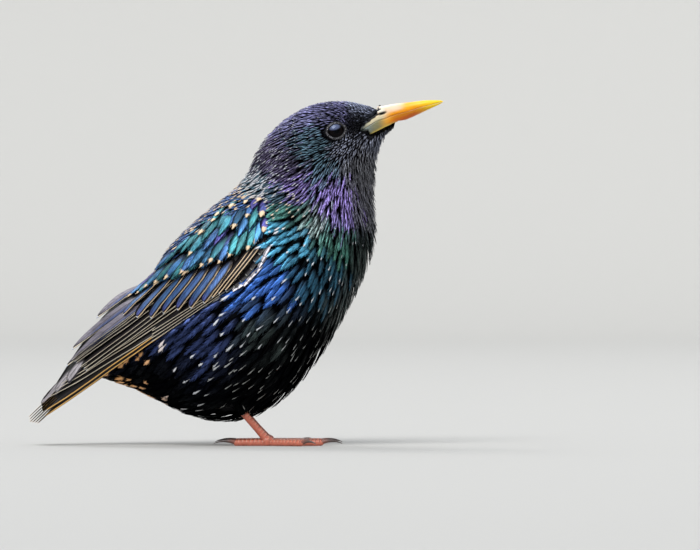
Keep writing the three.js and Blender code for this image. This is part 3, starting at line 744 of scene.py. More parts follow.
def unwrap(roots, sections):
    """Where roots lie on a map of the outline: round the body across, and from tail to bill upwards."""
    along, share = body_form.locate(roots[:, 0], roots[:, 2])
    on_head = head_form.locate(roots[:, 0], roots[:, 2])[0] + body_form.last
    neck = smooth(-1, 1, (roots[:, 0] - 20) * 0.5 + (roots[:, 2] - 118) * 0.5)
    along = np.where(neck > 0.5, on_head, along)
    turn = np.arcsin(np.clip(share, -1, 1))
    turn = np.where(roots[:, 1] < 0, math.pi - turn, turn) / (2 * math.pi) + 0.25
    return 0.01 + 0.98 * np.stack([np.clip(turn, 0, 1), np.clip(along / sections, 0, 1)], 1)


def on_patch(share):
    """Where shares of a feather lie on its own small patch of the OFBake map."""
    return PATCH * (share * (0.5, 1) - (0, 0.5))


VANE_THIN = 0.05  # half the least thickness of a small feather


def feathers(heap, path, out, half, profile, section, camber, length, tint, tip, bake, barbs=0, rng=None):
    """Adds feathers to a heap: one closed vane each along its path, and barbs that stand off its edges."""
    count, stations = path.shape[:2]
    across, height = np.array(section, float).T
    t, wide = np.array(profile, float).T
    ahead = unit(np.gradient(path, axis=1))
    side = unit(np.cross(out, ahead))
    up = np.cross(ahead, side)
    width = half[:, None] * wide[None, :]
    shift = side[:, :, None] * (width[..., None] * across)[..., None]
    rise = up[:, :, None] * (camber * width[..., None] * height + VANE_THIN * np.sign(height))[..., None]
    points = (path[:, :, None] + shift + rise).reshape(-1, 3)
    each = stations * len(section)
    quads, ends = face_loft((stations, len(section)))
    step = (np.arange(count) * each)[:, None, None]
    faces = (quads + step).reshape(-1, 4), (ends + step).reshape(-1, 3)
    s = np.broadcast_to(across, (count, stations, len(section)))
    v = np.broadcast_to(t[None, :, None], s.shape)
    share = np.stack([s, v], -1).reshape(-1, 2)
    size = np.stack([s * width[..., None], (1 - v) * length[:, None, None]], -1).reshape(-1, 2)
    heap.add(
        points, faces, Share=share, Size=size, OFBake=np.repeat(bake, each, 0) + on_patch(share),
        tint=np.repeat(tint, each, 0), tip=np.repeat(tip, each, 0),
    )
    if barbs:
        add_barbs(heap, path, side, up, width, t, length, tint, tip, bake, barbs, rng)


BARB_ROOTS = (0.42, 0.985)  # where barbs leave the vane, along it
BARB_OFF = 0.7  # how far out on the half vane they do
BARB_LEAN = (10, 26)  # the angle at which they do, in degrees
BARB_LONG = (0.1, 0.2)  # their length, as a share of the feather's
BARB_WIDE = 0.13  # half the width of a barb's root
BARB_THIN = 0.05  # half its height
BARB_PAINTED = 0.45  # the share of the half width whose colour they have
# A barb's points: two triangles and its end. Their steps on the OFBake map, and its faces.
BARB_STEPS = [(-1, 0), (1, 0), (0, 0), (-1, 1), (1, 1), (0, 1), (0, 2)]
BARB_QUADS = np.array([[0, 1, 4, 3], [1, 2, 5, 4], [2, 0, 3, 5]])
BARB_ENDS = np.array([[0, 2, 1], [3, 4, 6], [4, 5, 6], [5, 3, 6]])


def add_barbs(heap, path, side, up, width, t, length, tint, tip, bake, barbs, rng):
    """Adds loose barbs, alternately left and right, that lean forwards off the vanes' edges."""
    count = len(path)
    start = np.linspace(*BARB_ROOTS, barbs)[None, :] + rng.uniform(-0.03, 0.02, (count, barbs))
    way = np.where(np.arange(barbs) % 2, 1.0, -1.0)[None, :] * np.ones((count, 1))
    i = np.clip(np.searchsorted(t, start.ravel()).reshape(start.shape) - 1, 0, len(t) - 2)
    part = ((start - t[i]) / (t[i + 1] - t[i]))[..., None]
    row = np.arange(count)[:, None]
    ahead = unit(path[row, i + 1] - path[row, i])
    wide = mix(width[row, i], width[row, i + 1], part[..., 0])
    aside, above = side[row, i], up[row, i]
    off = (way * wide * BARB_OFF)[..., None]
    root = mix(path[row, i], path[row, i + 1], part) + aside * off
    # Near the tip barbs are shorter and lie closer to the shaft.
    lean = (rng.uniform(*BARB_LEAN, (count, barbs)) * DEGREE * (1 - 0.5 * smooth(0.8, 1, start)))[..., None]
    lift = rng.uniform(-0.02, 0.1, (count, barbs, 1))
    heading = unit(ahead * np.cos(lean) + aside * way[..., None] * np.sin(lean) + above * lift)
    shorter = 1 - 0.8 * smooth(0.75, 1, start)
    reach = (length[:, None] * rng.uniform(*BARB_LONG, (count, barbs)) * shorter)[..., None]
    middle = root + heading * reach * 0.55
    end = middle + unit(mix(heading, ahead, 0.6)) * reach * 0.45
    flat = unit(np.cross(above, heading))
    corners = []
    for place, size in ((root, 1.0), (middle, 0.75)):
        for across, height in ((-1, 0), (1, 0), (0, 1)):
            corners.append(place + flat * across * size * BARB_WIDE + above * (height * BARB_THIN * 2))
    points = np.stack([*corners, end], 2).reshape(-1, 3)
    each = len(BARB_STEPS)
    step = (np.arange(count * barbs) * each)[:, None, None]
    faces = (BARB_QUADS + step).reshape(-1, 4), (BARB_ENDS + step).reshape(-1, 3)
    v = np.clip(start[..., None] + np.array(BARB_STEPS)[:, 1] * 0.06, 0, 1)
    s = np.broadcast_to(BARB_PAINTED * way[..., None], v.shape)
    share = np.stack([s, v], -1).reshape(-1, 2)
    size = np.stack([off + 0 * v, (1 - v) * length[:, None, None]], -1).reshape(-1, 2)
    nudge = PATCH * 0.06 * np.tile(BARB_STEPS, (count * barbs, 1))
    each *= barbs
    heap.add(
        points, faces, Share=share, Size=size, OFBake=np.repeat(bake, each, 0) + on_patch(share) + nudge,
        tint=np.repeat(tint, each, 0), tip=np.repeat(tip, each, 0),
    )


LENGTHS, WIDTHS = (0.86, 1.14), (0.85, 1.15)  # how much the feathers of one place differ
ASTRAY = 5 * DEGREE  # how far they stray from their lie
GLOSS_AT = 0.7  # where along a feather its colour shows
OVER_BEND = 1.2  # how far feathers may reach over the front of the wing
ROOTED = 0.15  # how far their roots lie under the skin


def grow(heap, roots, piece, seed):
    """Grows a coat piece's feathers from places of the outline along the lie of the plumage."""
    rng = np.random.default_rng(seed)
    surface = outline()
    count = len(roots)
    about = shares(roots)
    size = rng.uniform(*LENGTHS, count)
    long = about @ column("length") * size
    half = about @ column("width") / 2 * rng.uniform(*WIDTHS, count)
    # The thighs' tufts are narrower and much shorter, and the feathers before the eye a little shorter.
    half = half * mix(1, 0.8, near_thigh(roots))
    long = long * mix(1, 0.55, near_thigh(roots))
    to_eye = np.hypot(roots[:, 0] - EYE[0], roots[:, 2] - EYE[1])
    ahead_of_eye = smooth(0, 2, roots[:, 0] - EYE[0])
    long = np.where(to_eye < 9, long * mix(1, 0.75, ahead_of_eye), long)
    long = np.minimum(long, bend_room(roots) + OVER_BEND)
    yaw = rng.normal(0, ASTRAY, count)
    t = np.array(piece.profile, float)[:, 0]
    place, out = settle(surface, roots)
    places, outs = [place], [out]
    for step in np.diff(t):
        heading = lie(place, out)
        heading = heading * np.cos(yaw)[:, None] + np.cross(out, heading) * np.sin(yaw)[:, None]
        place, out = settle(surface, place + heading * (long * step)[:, None])
        places.append(place)
        outs.append(out)
    path, out = np.stack(places, 1), np.stack(outs, 1)
    about, about_tip = shares(path[:, np.searchsorted(t, GLOSS_AT)]), shares(path[:, -1])
    depth = np.maximum(coat_depth(roots) + ROOTED, (BED_DEPTH + UNDER_BED + ROOTED) * bed(roots))[:, None]
    top = (rng.uniform(-0.25, 1, count) * (about_tip @ column("loose")))[:, None]
    # Feathers that reach the wing's lower edge slip under it.
    over_edge = path[..., 2] - height_at(WING_LOW, path[..., 0])
    sunk = BED_DEPTH * bed(path.reshape(-1, 3), UNDER_FRONT).reshape(count, -1) * smooth(-2.5, 0.5, over_edge)
    path = path + out * (-depth * (1 - t) ** 1.25 + top * t**2 - sunk)[..., None]
    # Each feather has for the most part the colour of one region, drawn by how near it is.
    pick = (about**2 / (about**2).sum(1, keepdims=True)).cumsum(1) > rng.random((count, 1))
    chosen = pick.argmax(1)
    paints = np.array([paint(region.paint) for region in PLUMAGE])
    tint = mix(about @ paints, paints[chosen], 0.6) * rng.uniform(1 - piece.vary, 1 + piece.vary, (count, 1))
    pale = rng.random(count) < about_tip @ column("tips")
    tip_length = about_tip @ column("tip") * rng.uniform(0.6, 1.2, count) * pale
    spot = about_tip @ column("spot") * rng.uniform(0.8, 1.2, count)
    tip = about_tip @ np.array([paint(region.tone) for region in PLUMAGE])
    feathers(
        heap, path, out, half, piece.profile, piece.section, piece.camber, long,
        np.hstack([tint, spot[:, None]]), np.hstack([tip, tip_length[:, None]]), unwrap(roots, COAT_SECTIONS),
        piece.barbs, rng,
    )


# A kind of coat piece and how its feathers are made. node is the solid that it stands for, and back says
# whether it covers the top of the body or what lies below. camber is the vane's arch, stretch how much
# farther apart feathers are along their lie than across it, and vary how much their brightness differs.
Coat = namedtuple("Coat", "name slot node back profile section camber barbs stretch vary")
COATS = [
    Coat("head_tufts", "crown_plumage", "head", None, TUFT, ROUND, 0.45, 0, 3.0, 0.6),
    Coat("neck_hackles", "neck_plumage", "neck", None, HACKLE, ROUND, 0.35, 5, 2.4, 0.5),
    Coat("breast_vanes", "body_plumage", "torso", False, SPEAR, KEELED, 0.17, 12, 1.9, 0.4),
    Coat("mantle_vanes", "body_plumage", "torso", True, SPEAR, KEELED, 0.17, 8, 1.9, 0.4),
]
ZONES = ["head", "neck", "torso"]
BACK_FROM = 0.6  # where the top of the body begins, on the way from its middle to its back
EYE_ROOM = 0.35  # how far feathers are rooted off the ring of lids
EYE_INNERMOST = 6.0  # what is nearer the bird's middle plane belongs to neither eye
SHORTEST = 3.5  # what a feather before the wing needs at least


def eye_clear(points):
    """Whether points keep off the bare ring round the eye."""
    far = np.hypot(*((points[:, 2 * k] - EYE[k]) / (LID_RING[k] + EYE_ROOM) for k in (0, 1)))
    return (far > 1) | (np.abs(points[:, 1]) < EYE_INNERMOST)


def wing_clear(points):
    """Whether points lie outside the wing's bed, or so near its lower edge that their feathers show."""
    low = height_at(WING_LOW, points[:, 0])
    return ((bed(points) < 0.97) | (points[:, 2] < low + WING_COVER)) & (bend_room(points) > SHORTEST)


def zone(points):
    """The number in ZONES of the small-feathered head, the hackled neck or the body, where points lie."""
    about = shares(points)
    names = [region.name for region in PLUMAGE]
    weight = np.stack([about[:, [names.index(n) for n in group]].sum(1) for group in (SMALL, HACKLED)], 1)
    body = 1 - weight.sum(1, keepdims=True)
    return np.hstack([weight, body]).argmax(1)


def feathered(points, piece, side):
    """Whether points belong to a coat piece of one side of the bird."""
    left = points[:, 1] >= 0
    chosen = (zone(points) == ZONES.index(piece.node)) & (left == (side == "left"))
    if piece.back is not None:
        chosen &= (body_form.locate(points[:, 0], points[:, 2])[1] > BACK_FROM) == piece.back
    return chosen & eye_clear(points) & ~inside(points, BARE) & wing_clear(points)


def spacing(points):
    """The distance between feathers at points."""
    return shares(points) @ column("spacing") * sizes().spacing


def add(tree, kind, links=None, **settings):
    """Adds a shader node. links gives its inputs by name or number: a value, a node, or a node and which of
    its outputs."""
    node = tree.nodes.new("ShaderNode" + kind)
    for name, value in settings.items():
        setattr(node, name, value)
    for name, value in (links or {}).items():
        if isinstance(value, bpy.types.Node):
            value = (value, 0)
        if isinstance(value, tuple) and isinstance(value[0], bpy.types.Node):
            tree.links.new(value[0].outputs[value[1]], node.inputs[name])
        else:
            node.inputs[name].default_value = value
    return node


def new_material(name):
    """An empty node material and its tree."""
    made = bpy.data.materials.new(name)
    made.use_nodes = True
    made.node_tree.nodes.clear()
    return made, made.node_tree


BLACK = (0.0015, 0.0015, 0.0025, 1)  # melanin, very slightly blue
SOFT, TIMES = {"interpolation_type": "SMOOTHSTEP"}, {"operation": "MULTIPLY"}


def read(tree, maps, paints):
    """The nodes that read maps and paints."""
    places = [add(tree, "SeparateXYZ", {0: add(tree, "UVMap", uv_map=title)}) for title in maps]
    return places + [add(tree, "Attribute", attribute_name=title) for title in paints]


def barb_strands(tree, size, slope, streak, patch):
    """The way across a vane, and the pattern of its barbs. Along a barb the distance to the tip falls by
    slope times the way across. Real barbs are 0.2 mm apart, too fine to show, so bundles are drawn."""
    across = add(tree, "Math", {0: size}, operation="ABSOLUTE")
    barb = add(tree, "Math", {0: across, 1: slope, 2: (size, 1)}, operation="MULTIPLY_ADD")
    bundle = add(tree, "Math", {0: barb, 1: MM / (sizes().barb * slope)}, **TIMES)
    along = add(tree, "Math", {0: across, 1: streak}, **TIMES)
    place = add(tree, "SeparateXYZ", {0: (add(tree, "TexCoord"), 3)})
    other = add(tree, "Math", {0: place, 1: 1 / (patch * MM)}, **TIMES)
    spread = add(tree, "CombineXYZ", {0: bundle, 1: along, 2: other})
    return across, add(tree, "TexNoise", {0: spread, "Scale": 1.0, "Detail": 2})


def contour_material(name, metal, rough, edge, spot):
    """Contour feathers: barbs of black keratin under a film that gives an oily gloss in the tint's colour. To
    the eye the vane is glossy and coloured in its middle, and black at its root and margins, partly its own
    black and partly painted shade of the overlapping feathers, with barbs that run off the shaft at a narrow
    angle, and a matt pale spot at its tip where the pigment is missing. edge is where the margin begins, and
    spot how the spot's two ways are put together."""
    made, tree = new_material(name)
    share, size, tint, tip = read(tree, ("Share", "Size"), ("tint", "tip"))
    aside = add(tree, "Math", {0: share}, operation="ABSOLUTE")
    # The root lies in the shade of other feathers, and its down is black.
    root = add(tree, "MapRange", {0: (share, 1), 1: 0.3, 2: 0.62}, **SOFT)
    # The margins fade to black: partly the feathers' own black, partly painted shade of the gaps between
    # overlapping feathers.
    margin = add(tree, "MapRange", {0: aside, 1: edge, 2: 1.0, 3: 1.0, 4: 0.06}, **SOFT)
    gloss = add(tree, "Math", {0: root, 1: margin}, **TIMES)
    # Its barbs leave the shaft at about 22 degrees.
    across, strands = barb_strands(tree, size, 2.5, 0.4, 5)
    shade = add(tree, "MapRange", {0: strands, 1: 0.32, 2: 0.68, 3: 0.35, 4: 1.45})
    lit = add(tree, "VectorMath", {0: tint, "Scale": shade}, operation="SCALE")
    body = add(tree, "Mix", {0: gloss, 6: BLACK, 7: lit}, data_type="RGBA")
    # The spot reaches tip alpha far from the tip and tint alpha to both sides of the shaft, with a frayed
    # border. Added up, the two make it pointed at both ends. The larger of the two makes it an arrow's head.
    over = add(tree, "Math", {0: (size, 1), 1: (tip, "Alpha")}, operation="DIVIDE")
    wide = add(tree, "Math", {0: across, 1: (tint, "Alpha")}, operation="DIVIDE")
    off_spot = add(tree, "Math", {0: over, 1: wide}, operation=spot)
    frayed = add(tree, "Math", {0: strands, 1: 1.2, 2: off_spot}, operation="MULTIPLY_ADD")
    pale = add(tree, "MapRange", {0: frayed, 1: 1.38, 2: 1.7, 3: 1.0, 4: 0.0}, **SOFT)
    has_tip = add(tree, "Math", {0: (tip, "Alpha"), 1: 0.02}, operation="GREATER_THAN")
    pale = add(tree, "Math", {0: pale, 1: has_tip}, **TIMES)
    skin = add(tree, "Mix", {0: pale, 6: (body, 2), 7: tip}, data_type="RGBA")
    bump = add(tree, "Bump", {"Height": strands, "Strength": 0.5, "Distance": 0.25 * MM})
    metallic = add(tree, "MapRange", {0: pale, 3: metal, 4: 0.0})
    # Light that falls between barbs is lost, so the surface reflects less than solid keratin, and black
    # feathers hardly reflect at all.
    bright = add(tree, "RGBToBW", {0: (skin, 2)})
    level = add(tree, "MapRange", {0: bright, 1: 0.003, 2: 0.03, 3: 0.0, 4: 0.3})
    shining = add(tree, "MapRange", {0: level, 1: 0.05, 2: 0.2})
    metallic = add(tree, "Math", {0: metallic, 1: shining}, **TIMES)
    shader = add(tree, "BsdfPrincipled", {
        "Base Color": (skin, 2), "Metallic": metallic, "Roughness": rough, "IOR": 1.54, "Normal": bump,
        "Specular IOR Level": level,
    })
    add(tree, "OutputMaterial", {0: shader})
    return made


def grained(tree, wide, detail, strength, deep):
    """A grain this wide, and its bumps this deep, in millimetres."""
    grain = add(tree, "TexNoise", {0: (add(tree, "TexCoord"), 3), "Scale": 1 / (wide * MM), "Detail": detail})
    return grain, add(tree, "Bump", {"Height": grain, "Strength": strength, "Distance": deep * MM})


def skin_material():
    """Skin with its black down, which shows between the feathers as a matt dark ground in their colour. Down
    is too fine to show, so its clumps are drawn 1.2 mm wide."""
    made, tree = new_material("down_over_skin")
    tint = add(tree, "Attribute", attribute_name="tint")
    dark = add(tree, "Mix", {0: 0.97, 6: tint, 7: BLACK}, data_type="RGBA")
    _clumps, bump = grained(tree, 1.2, 4, 0.6, 0.3)
    shader = add(tree, "BsdfPrincipled", {
        "Base Color": (dark, 2), "Roughness": 0.8, "IOR": 1.54, "Normal": bump, "Specular IOR Level": 0.15,
    })
    add(tree, "OutputMaterial", {0: shader})
    return made


def flight_material(name, metal, rough):
    """Flight feathers and large coverts: stiff keratin vanes with a satin gloss. To the eye each is a dark
    blade with a thin dark shaft, a coloured panel where the gloss lies, and a buff edge as sharp as a pen
    line."""
    made, tree = new_material(name)
    share, size, edge, tint, web, rim, tip = read(
        tree, ("Share", "Size", "Edge"), ("tint", "web", "fringe", "tip")
    )
    panel_in = add(tree, "MapRange", {0: share, 1: -0.5, 2: -0.15}, **SOFT)
    inside_rim = add(tree, "Math", {0: edge, 1: (web, "Alpha")}, operation="SUBTRACT")
    panel_out = add(tree, "MapRange", {0: inside_rim, 1: 0.0, 2: 0.5}, **SOFT)
    panel = add(tree, "Math", {0: panel_in, 1: panel_out}, **TIMES)
    rooted = add(tree, "MapRange", {0: (share, 1), 1: 0.05, 2: 0.3}, **SOFT)
    panel = add(tree, "Math", {0: panel, 1: rooted}, **TIMES)
    ended = add(tree, "MapRange", {0: (edge, 1), 1: 0.2, 2: (tint, "Alpha")}, **SOFT)
    panel = add(tree, "Math", {0: panel, 1: ended}, **TIMES)
    # Its barbs leave the shaft at about 30 degrees.
    across, strands = barb_strands(tree, size, 1.7, 0.3, 6)
    shade = add(tree, "MapRange", {0: strands, 1: 0.32, 2: 0.68, 3: 0.6, 4: 1.3})
    gloss = add(tree, "VectorMath", {0: tint, "Scale": shade}, operation="SCALE")
    body = add(tree, "Mix", {0: panel, 6: web, 7: gloss}, data_type="RGBA")
    # The shaft is a line 0.25 mm wide.
    shaft = add(tree, "MapRange", {0: across, 1: 0.1, 2: 0.2, 3: 0.75, 4: 0.0}, **SOFT)
    body = add(tree, "Mix", {0: shaft, 6: (body, 2), 7: BLACK}, data_type="RGBA")
    to_tip = add(tree, "Math", {0: (edge, 1), 1: 2.2}, **TIMES)
    nearest = add(tree, "Math", {0: edge, 1: to_tip}, operation="MINIMUM")
    fringe = add(tree, "Math", {0: nearest, 1: (rim, "Alpha")}, operation="LESS_THAN")
    body = add(tree, "Mix", {0: fringe, 6: (body, 2), 7: rim}, data_type="RGBA")
    frayed = add(tree, "Math", {0: strands, 1: 1.0, 2: (edge, 1)}, operation="MULTIPLY_ADD")
    frayed = add(tree, "Math", {0: frayed, 1: 0.5}, operation="SUBTRACT")
    spot = add(tree, "Math", {0: frayed, 1: (tip, "Alpha")}, operation="LESS_THAN")
    body = add(tree, "Mix", {0: spot, 6: (body, 2), 7: tip}, data_type="RGBA")
    pale = add(tree, "Math", {0: spot, 1: fringe}, operation="MAXIMUM")
    metallic = add(tree, "MapRange", {0: pale, 3: metal, 4: 0.0})
    bump = add(tree, "Bump", {"Height": strands, "Strength": 0.4, "Distance": 0.2 * MM})
    shader = add(tree, "BsdfPrincipled", {
        "Base Color": (body, 2), "Metallic": metallic, "Roughness": rough, "IOR": 1.54, "Normal": bump,
        "Specular IOR Level": 0.3,
    })
    add(tree, "OutputMaterial", {0: shader})
    return made


HORN_ROOM = 2.6  # how far the skin draws in under the bare bill
UNDER_BED = 0.35  # how far it lies under the wing's bed


def build_skin():
    """The skin under the plumage, one surface that lies inside the flesh by the coat's depth."""
    surface = outline()
    depth = np.maximum(coat_depth(surface.points), (BED_DEPTH + UNDER_BED) * bed(surface.points))
    depth = np.maximum(depth, HORN_ROOM * inside(surface.points, BARE))
    points = surface.points - surface.normals * depth[:, None]
    tint = opaque(plumage_paint(surface.points))
    bake = unwrap(surface.points, body_form.last + head_form.last)
    made = add_mesh("skin", points, [surface.faces], {"OFBake": bake}, {"tint": tint})
    ease(made, 4)
    dress(made, skin_material(), "body_plumage", "head", "neck", "torso", "thigh_left", "thigh_right")


# The gloss of the feathers that stand for each solid: its name, how metallic and rough it is, and where the
# feathers' margins begin.
GLOSSES = {
    "head": ("barbule_gloss_crown", 0.55, 0.38, 0.45),
    "neck": ("barbule_gloss_hackles", 0.6, 0.34, 0.28),
    "torso": ("barbule_gloss_body", 0.6, 0.36, 0.5),
}


def build_coat(node):
    """The small feathers over the skin that stand for a solid."""
    oily = contour_material(*GLOSSES[node], "ADD")
    pieces = [(piece, side) for side in ("left", "right") for piece in COATS]
    for seed, (piece, side) in enumerate(pieces):
        if piece.node == node:
            keep = functools.partial(feathered, piece=piece, side=side)
            roots = scatter(outline(), spacing, keep, piece.stretch, 100 + seed)
            heap = Heap()
            grow(heap, roots, piece, 200 + seed)
            dress(heap.mesh(f"{piece.name}_{side}"), oily, piece.slot, node)


# The wing's rows in the side view, from the innermost layer out. sink and rise are how far a feather's root
# and tip lie off the wing's surface, and floor is how far it keeps off the bird's middle plane at least.
# roots and tips are points of the lines along which these lie, from the lower or front feather to the last.
Row = namedtuple("Row", "name count width sink rise floor look roots tips")
ROWS = [
    Row("wing tip", 3, 5.0, -1.5, -0.5, 0.6, "silver",
        [(-58.5, 34.5), (-63, 30), (-68, 25)], [(-65.4, 25.8), (-70.1, 21), (-75.6, 15.6)]),
    Row("inner primaries", 4, 2.9, -2.4, -1.75, 0.35, "secondary",
        [(-12, 63.6), (-12, 62.2), (-12, 60.7), (-6, 60.8)],
        [(-65.6, 27.0), (-67.5, 24.6), (-69.6, 22.0), (-71.8, 19.2)]),
    Row("outer primaries", 2, 2.7, -2.3, -1.6, 0.35, "primary",
        [(-3, 64.2), (-2, 63)], [(-73.5, 14.6), (-74, 12.2)]),
    Row("primary coverts", 4, 2.2, -2.2, -1.2, 0.5, "primary covert",
        [(5, 69.3), (6, 67.7)], [(-32.6, 45.4), (-32.9, 41.2)]),
    Row("secondaries", 6, 3.8, -2.2, -0.95, 0.9, "secondary",
        [(-19.9, 69.6), (-10.1, 66.2)], [(-63.2, 33.9), (-57.9, 30.0)]),
    Row("third tertial", 1, 5.2, -1.9, -0.1, 1.8, "tertial", [(-28.3, 61.8)], [(-67.0, 31.7)]),
    Row("second tertial", 1, 5.0, -1.9, 0.1, 2.1, "tertial", [(-31.9, 62.5)], [(-64.7, 38.2)]),
    Row("first tertial", 1, 4.6, -1.9, 0.3, 2.4, "tertial", [(-33.8, 65.9)], [(-55.0, 50.4)]),
    Row("alula", 3, 3.2, -2.1, -0.4, 0.5, "alula", [(12, 82), (6.5, 79)], [(-4, 61.5), (-9, 58)]),
    Row("greater coverts", 7, 5.6, -2.1, -0.3, 0.9, "panel",
        [(-1.3, 73.4), (-29.5, 67.3)], [(-13, 56.5), (-25, 53.6), (-37.4, 50.1), (-44.5, 51.4)]),
    Row("bend scales", 8, 2.2, -1.5, -0.3, 0.5, "scale",
        [(12.5, 79), (8.5, 71.5), (4, 65.5), (-3, 61.5)], [(9, 74.5), (6, 68.5), (0.5, 62.5), (-6.5, 58.8)]),
    Row("bend whites", 9, 2.1, -1.5, -0.2, 0.5, "white",
        [(14, 79), (11.5, 71), (6.5, 65.5), (3, 63)], [(11, 73.5), (8, 67.5), (3, 62.2), (-1, 60.4)]),
]
FLIGHT_ROWS = 8  # these rows make the flights' piece, and the others the coverts'
# Half outlines of the wing's feathers, and of the pointed tertials.
TERTIAL = [(0, 0.4), (0.15, 0.75), (0.35, 1), (0.62, 1), (0.75, 0.86), (0.86, 0.62), (0.94, 0.36), (1, 0.1)]
BLADE = [(0, 0.4), (0.1, 0.62), (0.3, 0.92), (0.55, 1), (0.75, 0.98), (0.88, 0.86), (0.95, 0.66),
         (0.985, 0.42), (1, 0.16)]
VANE_SECTION = [(-1, 0), (-0.7, 0.45), (-0.35, 0.8), (-0.05, 0.95), (0, 1.15), (0.05, 0.95), (0.35, 0.8),
                (0.7, 0.45), (1, 0), (0.5, -0.35), (0, -0.5), (-0.5, -0.35)]
VANE_THICK = 0.12  # half the thickness of a wing feather's vane beside its shaft
ARCH = 24.0  # the radius of the vane's curve across
STATIONS = 18
ALONG = np.linspace(0, 1, STATIONS) ** 0.85  # where along a feather its sections lie, closer towards the tip
STEP = 0.8  # how far a feather's lower edge stands off the next one

# How a kind of wing feather is painted: its panel, how much of the inner web the panel leaves dark, the web
# round it, how far the web's dark rim reaches in from the outer edge and from the tip, the edge's colour and
# width, and the tip's colour and the pale tip's length.
Look = namedtuple("Look", "panel inner web rim end fringe edge spot tip")
LOOKS = {
    "primary": Look("flight", 1.0, "flight", 0.6, 1.0, "gold", 0.4, "cream", 0.0),
    "primary covert": Look("flight", 1.0, "flight", 0.6, 1.0, "cream", 0.22, "cream", 0.2),
    "secondary": Look("flight", 1.0, "flight", 0.6, 1.0, "cream", 0.29, "white", 0.3),
    "silver": Look("silver", 0.5, "flight", 0.6, 1.6, "slate", 0.2, "white", 0.0),
    "tertial": Look("slate", 0.25, "flight", 0.45, 5.5, "cream", 0.36, "white", 1.1),
    "alula": Look("flight", 1.0, "flight", 0.6, 1.0, "buff", 0.45, "white", 0.3),
    "panel": Look("panel", 1.0, "flight", 1.0, 1.0, "buff", 0.46, "white", 0.35),
    "scale": Look("flight", 1.0, "flight", 0.5, 1.0, "dim", 0.2, "dim", 0.4),
    "white": Look("bend", 1.0, "bend", 0.1, 0.3, "slate", 0.16, "bend", 0.0),
    "tail": Look("flight", 1.0, "flight", 0.6, 1.0, "gold", 0.25, "cream", 0.0),
}
TIP_SKEW = 0.85  # how far a wing feather's tip is drawn to the outer edge, which at 1 would run on straight
FRINGE_FROM = (0.06, 0.25)  # where along a feather its pale edge begins and is full


def blade(heap, path, out, half, look, profile, seed, bake, skew=TIP_SKEW):
    """Adds one wing or tail feather along its path. The outer edge, which shows, is at share 1. skew is how
    far the tip is drawn towards it."""
    rng = np.random.default_rng(seed)
    t = ALONG
    wide = half * height_at(profile, t)
    ahead = unit(np.gradient(path, axis=0))
    side = unit(np.cross(out, ahead))
    up = np.cross(ahead, side)
    across, height = np.array(VANE_SECTION, float).T
    # The edges are slightly uneven.
    jag = 1 + rng.uniform(-0.04, 0.02, (STATIONS, 1)) * (np.abs(across) > 0.9)
    reach = wide[:, None] * across * jag - (skew * (half - wide) * (t > 0.55))[:, None]
    lift = VANE_THICK * height - reach**2 / (2 * ARCH)
    points = (path[:, None] + side[:, None] * reach[..., None] + up[:, None] * lift[..., None]).reshape(-1, 3)
    long = np.linalg.norm(np.diff(path, axis=0), axis=1).sum()
    s = np.broadcast_to(-across, (STATIONS, len(across)))
    v = np.broadcast_to(t[:, None], s.shape)
    share = np.stack([s, v], -1).reshape(-1, 2)
    size = np.stack([s * wide[:, None], (1 - v) * long], -1).reshape(-1, 2)
    edge = np.stack([wide[:, None] * (1 - s), (1 - v) * long], -1).reshape(-1, 2)
    patch = on_patch(share)
    kind = LOOKS[look]
    share[:, 0] *= np.where(share[:, 0] < 0, kind.inner, 1)
    panel = np.tile(paint(kind.panel), (len(points), 1))
    if look == "panel":
        panel = mix(panel, paint("covert_blue"), 0.6 * rng.random())
        panel = mix(panel, paint("covert_violet"), 0.75 * smooth(0.75, 1, v).reshape(-1, 1))
    if look == "tertial":
        gloss = 0.9 * smooth(0.2, 0.45, s) * (1 - smooth(0.6, 0.85, v))
        panel = mix(panel, paint("panel"), gloss.reshape(-1, 1))
    shade = rng.uniform(0.8, 1.2)
    fringe = kind.edge * smooth(*FRINGE_FROM, v.reshape(-1, 1))
    row = np.ones((len(points), 1))
    heap.add(
        points, face_loft((STATIONS, len(across))), Share=share, Size=size, Edge=edge, OFBake=bake + patch,
        tint=np.hstack([panel * shade, kind.end * row]), web=np.append(paint(kind.web) * shade, kind.rim),
        fringe=np.hstack([paint(kind.fringe) * row, fringe]), tip=np.append(paint(kind.spot), kind.tip),
    )


def turned(vector, axis, angle):
    """Vectors turned about unit axes."""
    along = axis * (axis * vector).sum(-1, keepdims=True)
    return vector * np.cos(angle) + np.cross(axis, vector) * np.sin(angle) + along * (1 - np.cos(angle))


def guided(points, count):
    """Places evenly along the line through points, or the points themselves if there are as many."""
    points = np.array(points, float)
    if len(points) == count:
        return points
    way = np.concatenate([[0], np.cumsum(np.linalg.norm(np.diff(points, axis=0), axis=1))])
    at = np.linspace(0, way[-1], count)
    return np.stack([np.interp(at, way, points[:, 0]), np.interp(at, way, points[:, 1])], 1)


FACE_ASIDE = {"tertial": 0.6, "silver": 0.6}  # how far these turn their faces to the side at the rear
LONE_TILT, MOST_TILT = 0.4, 0.5  # how far a tertial turns its lower edge out, and others at most, in radians
TERTIAL_AHEAD = 10.0  # how much farther forward the tertials turn to the side than other feathers


def rear_of(x):
    """How far a place belongs to the rear of the wing, where the two wings meet, from 0 to 1."""
    return (1 - smooth(-56, -40, x))[..., None]


def sideways(x, out, share):
    """Outward directions, turned towards the side of the bird at the rear."""
    return unit(mix(out, np.array([0.0, 1.0, 0.0]), share * rear_of(x)))


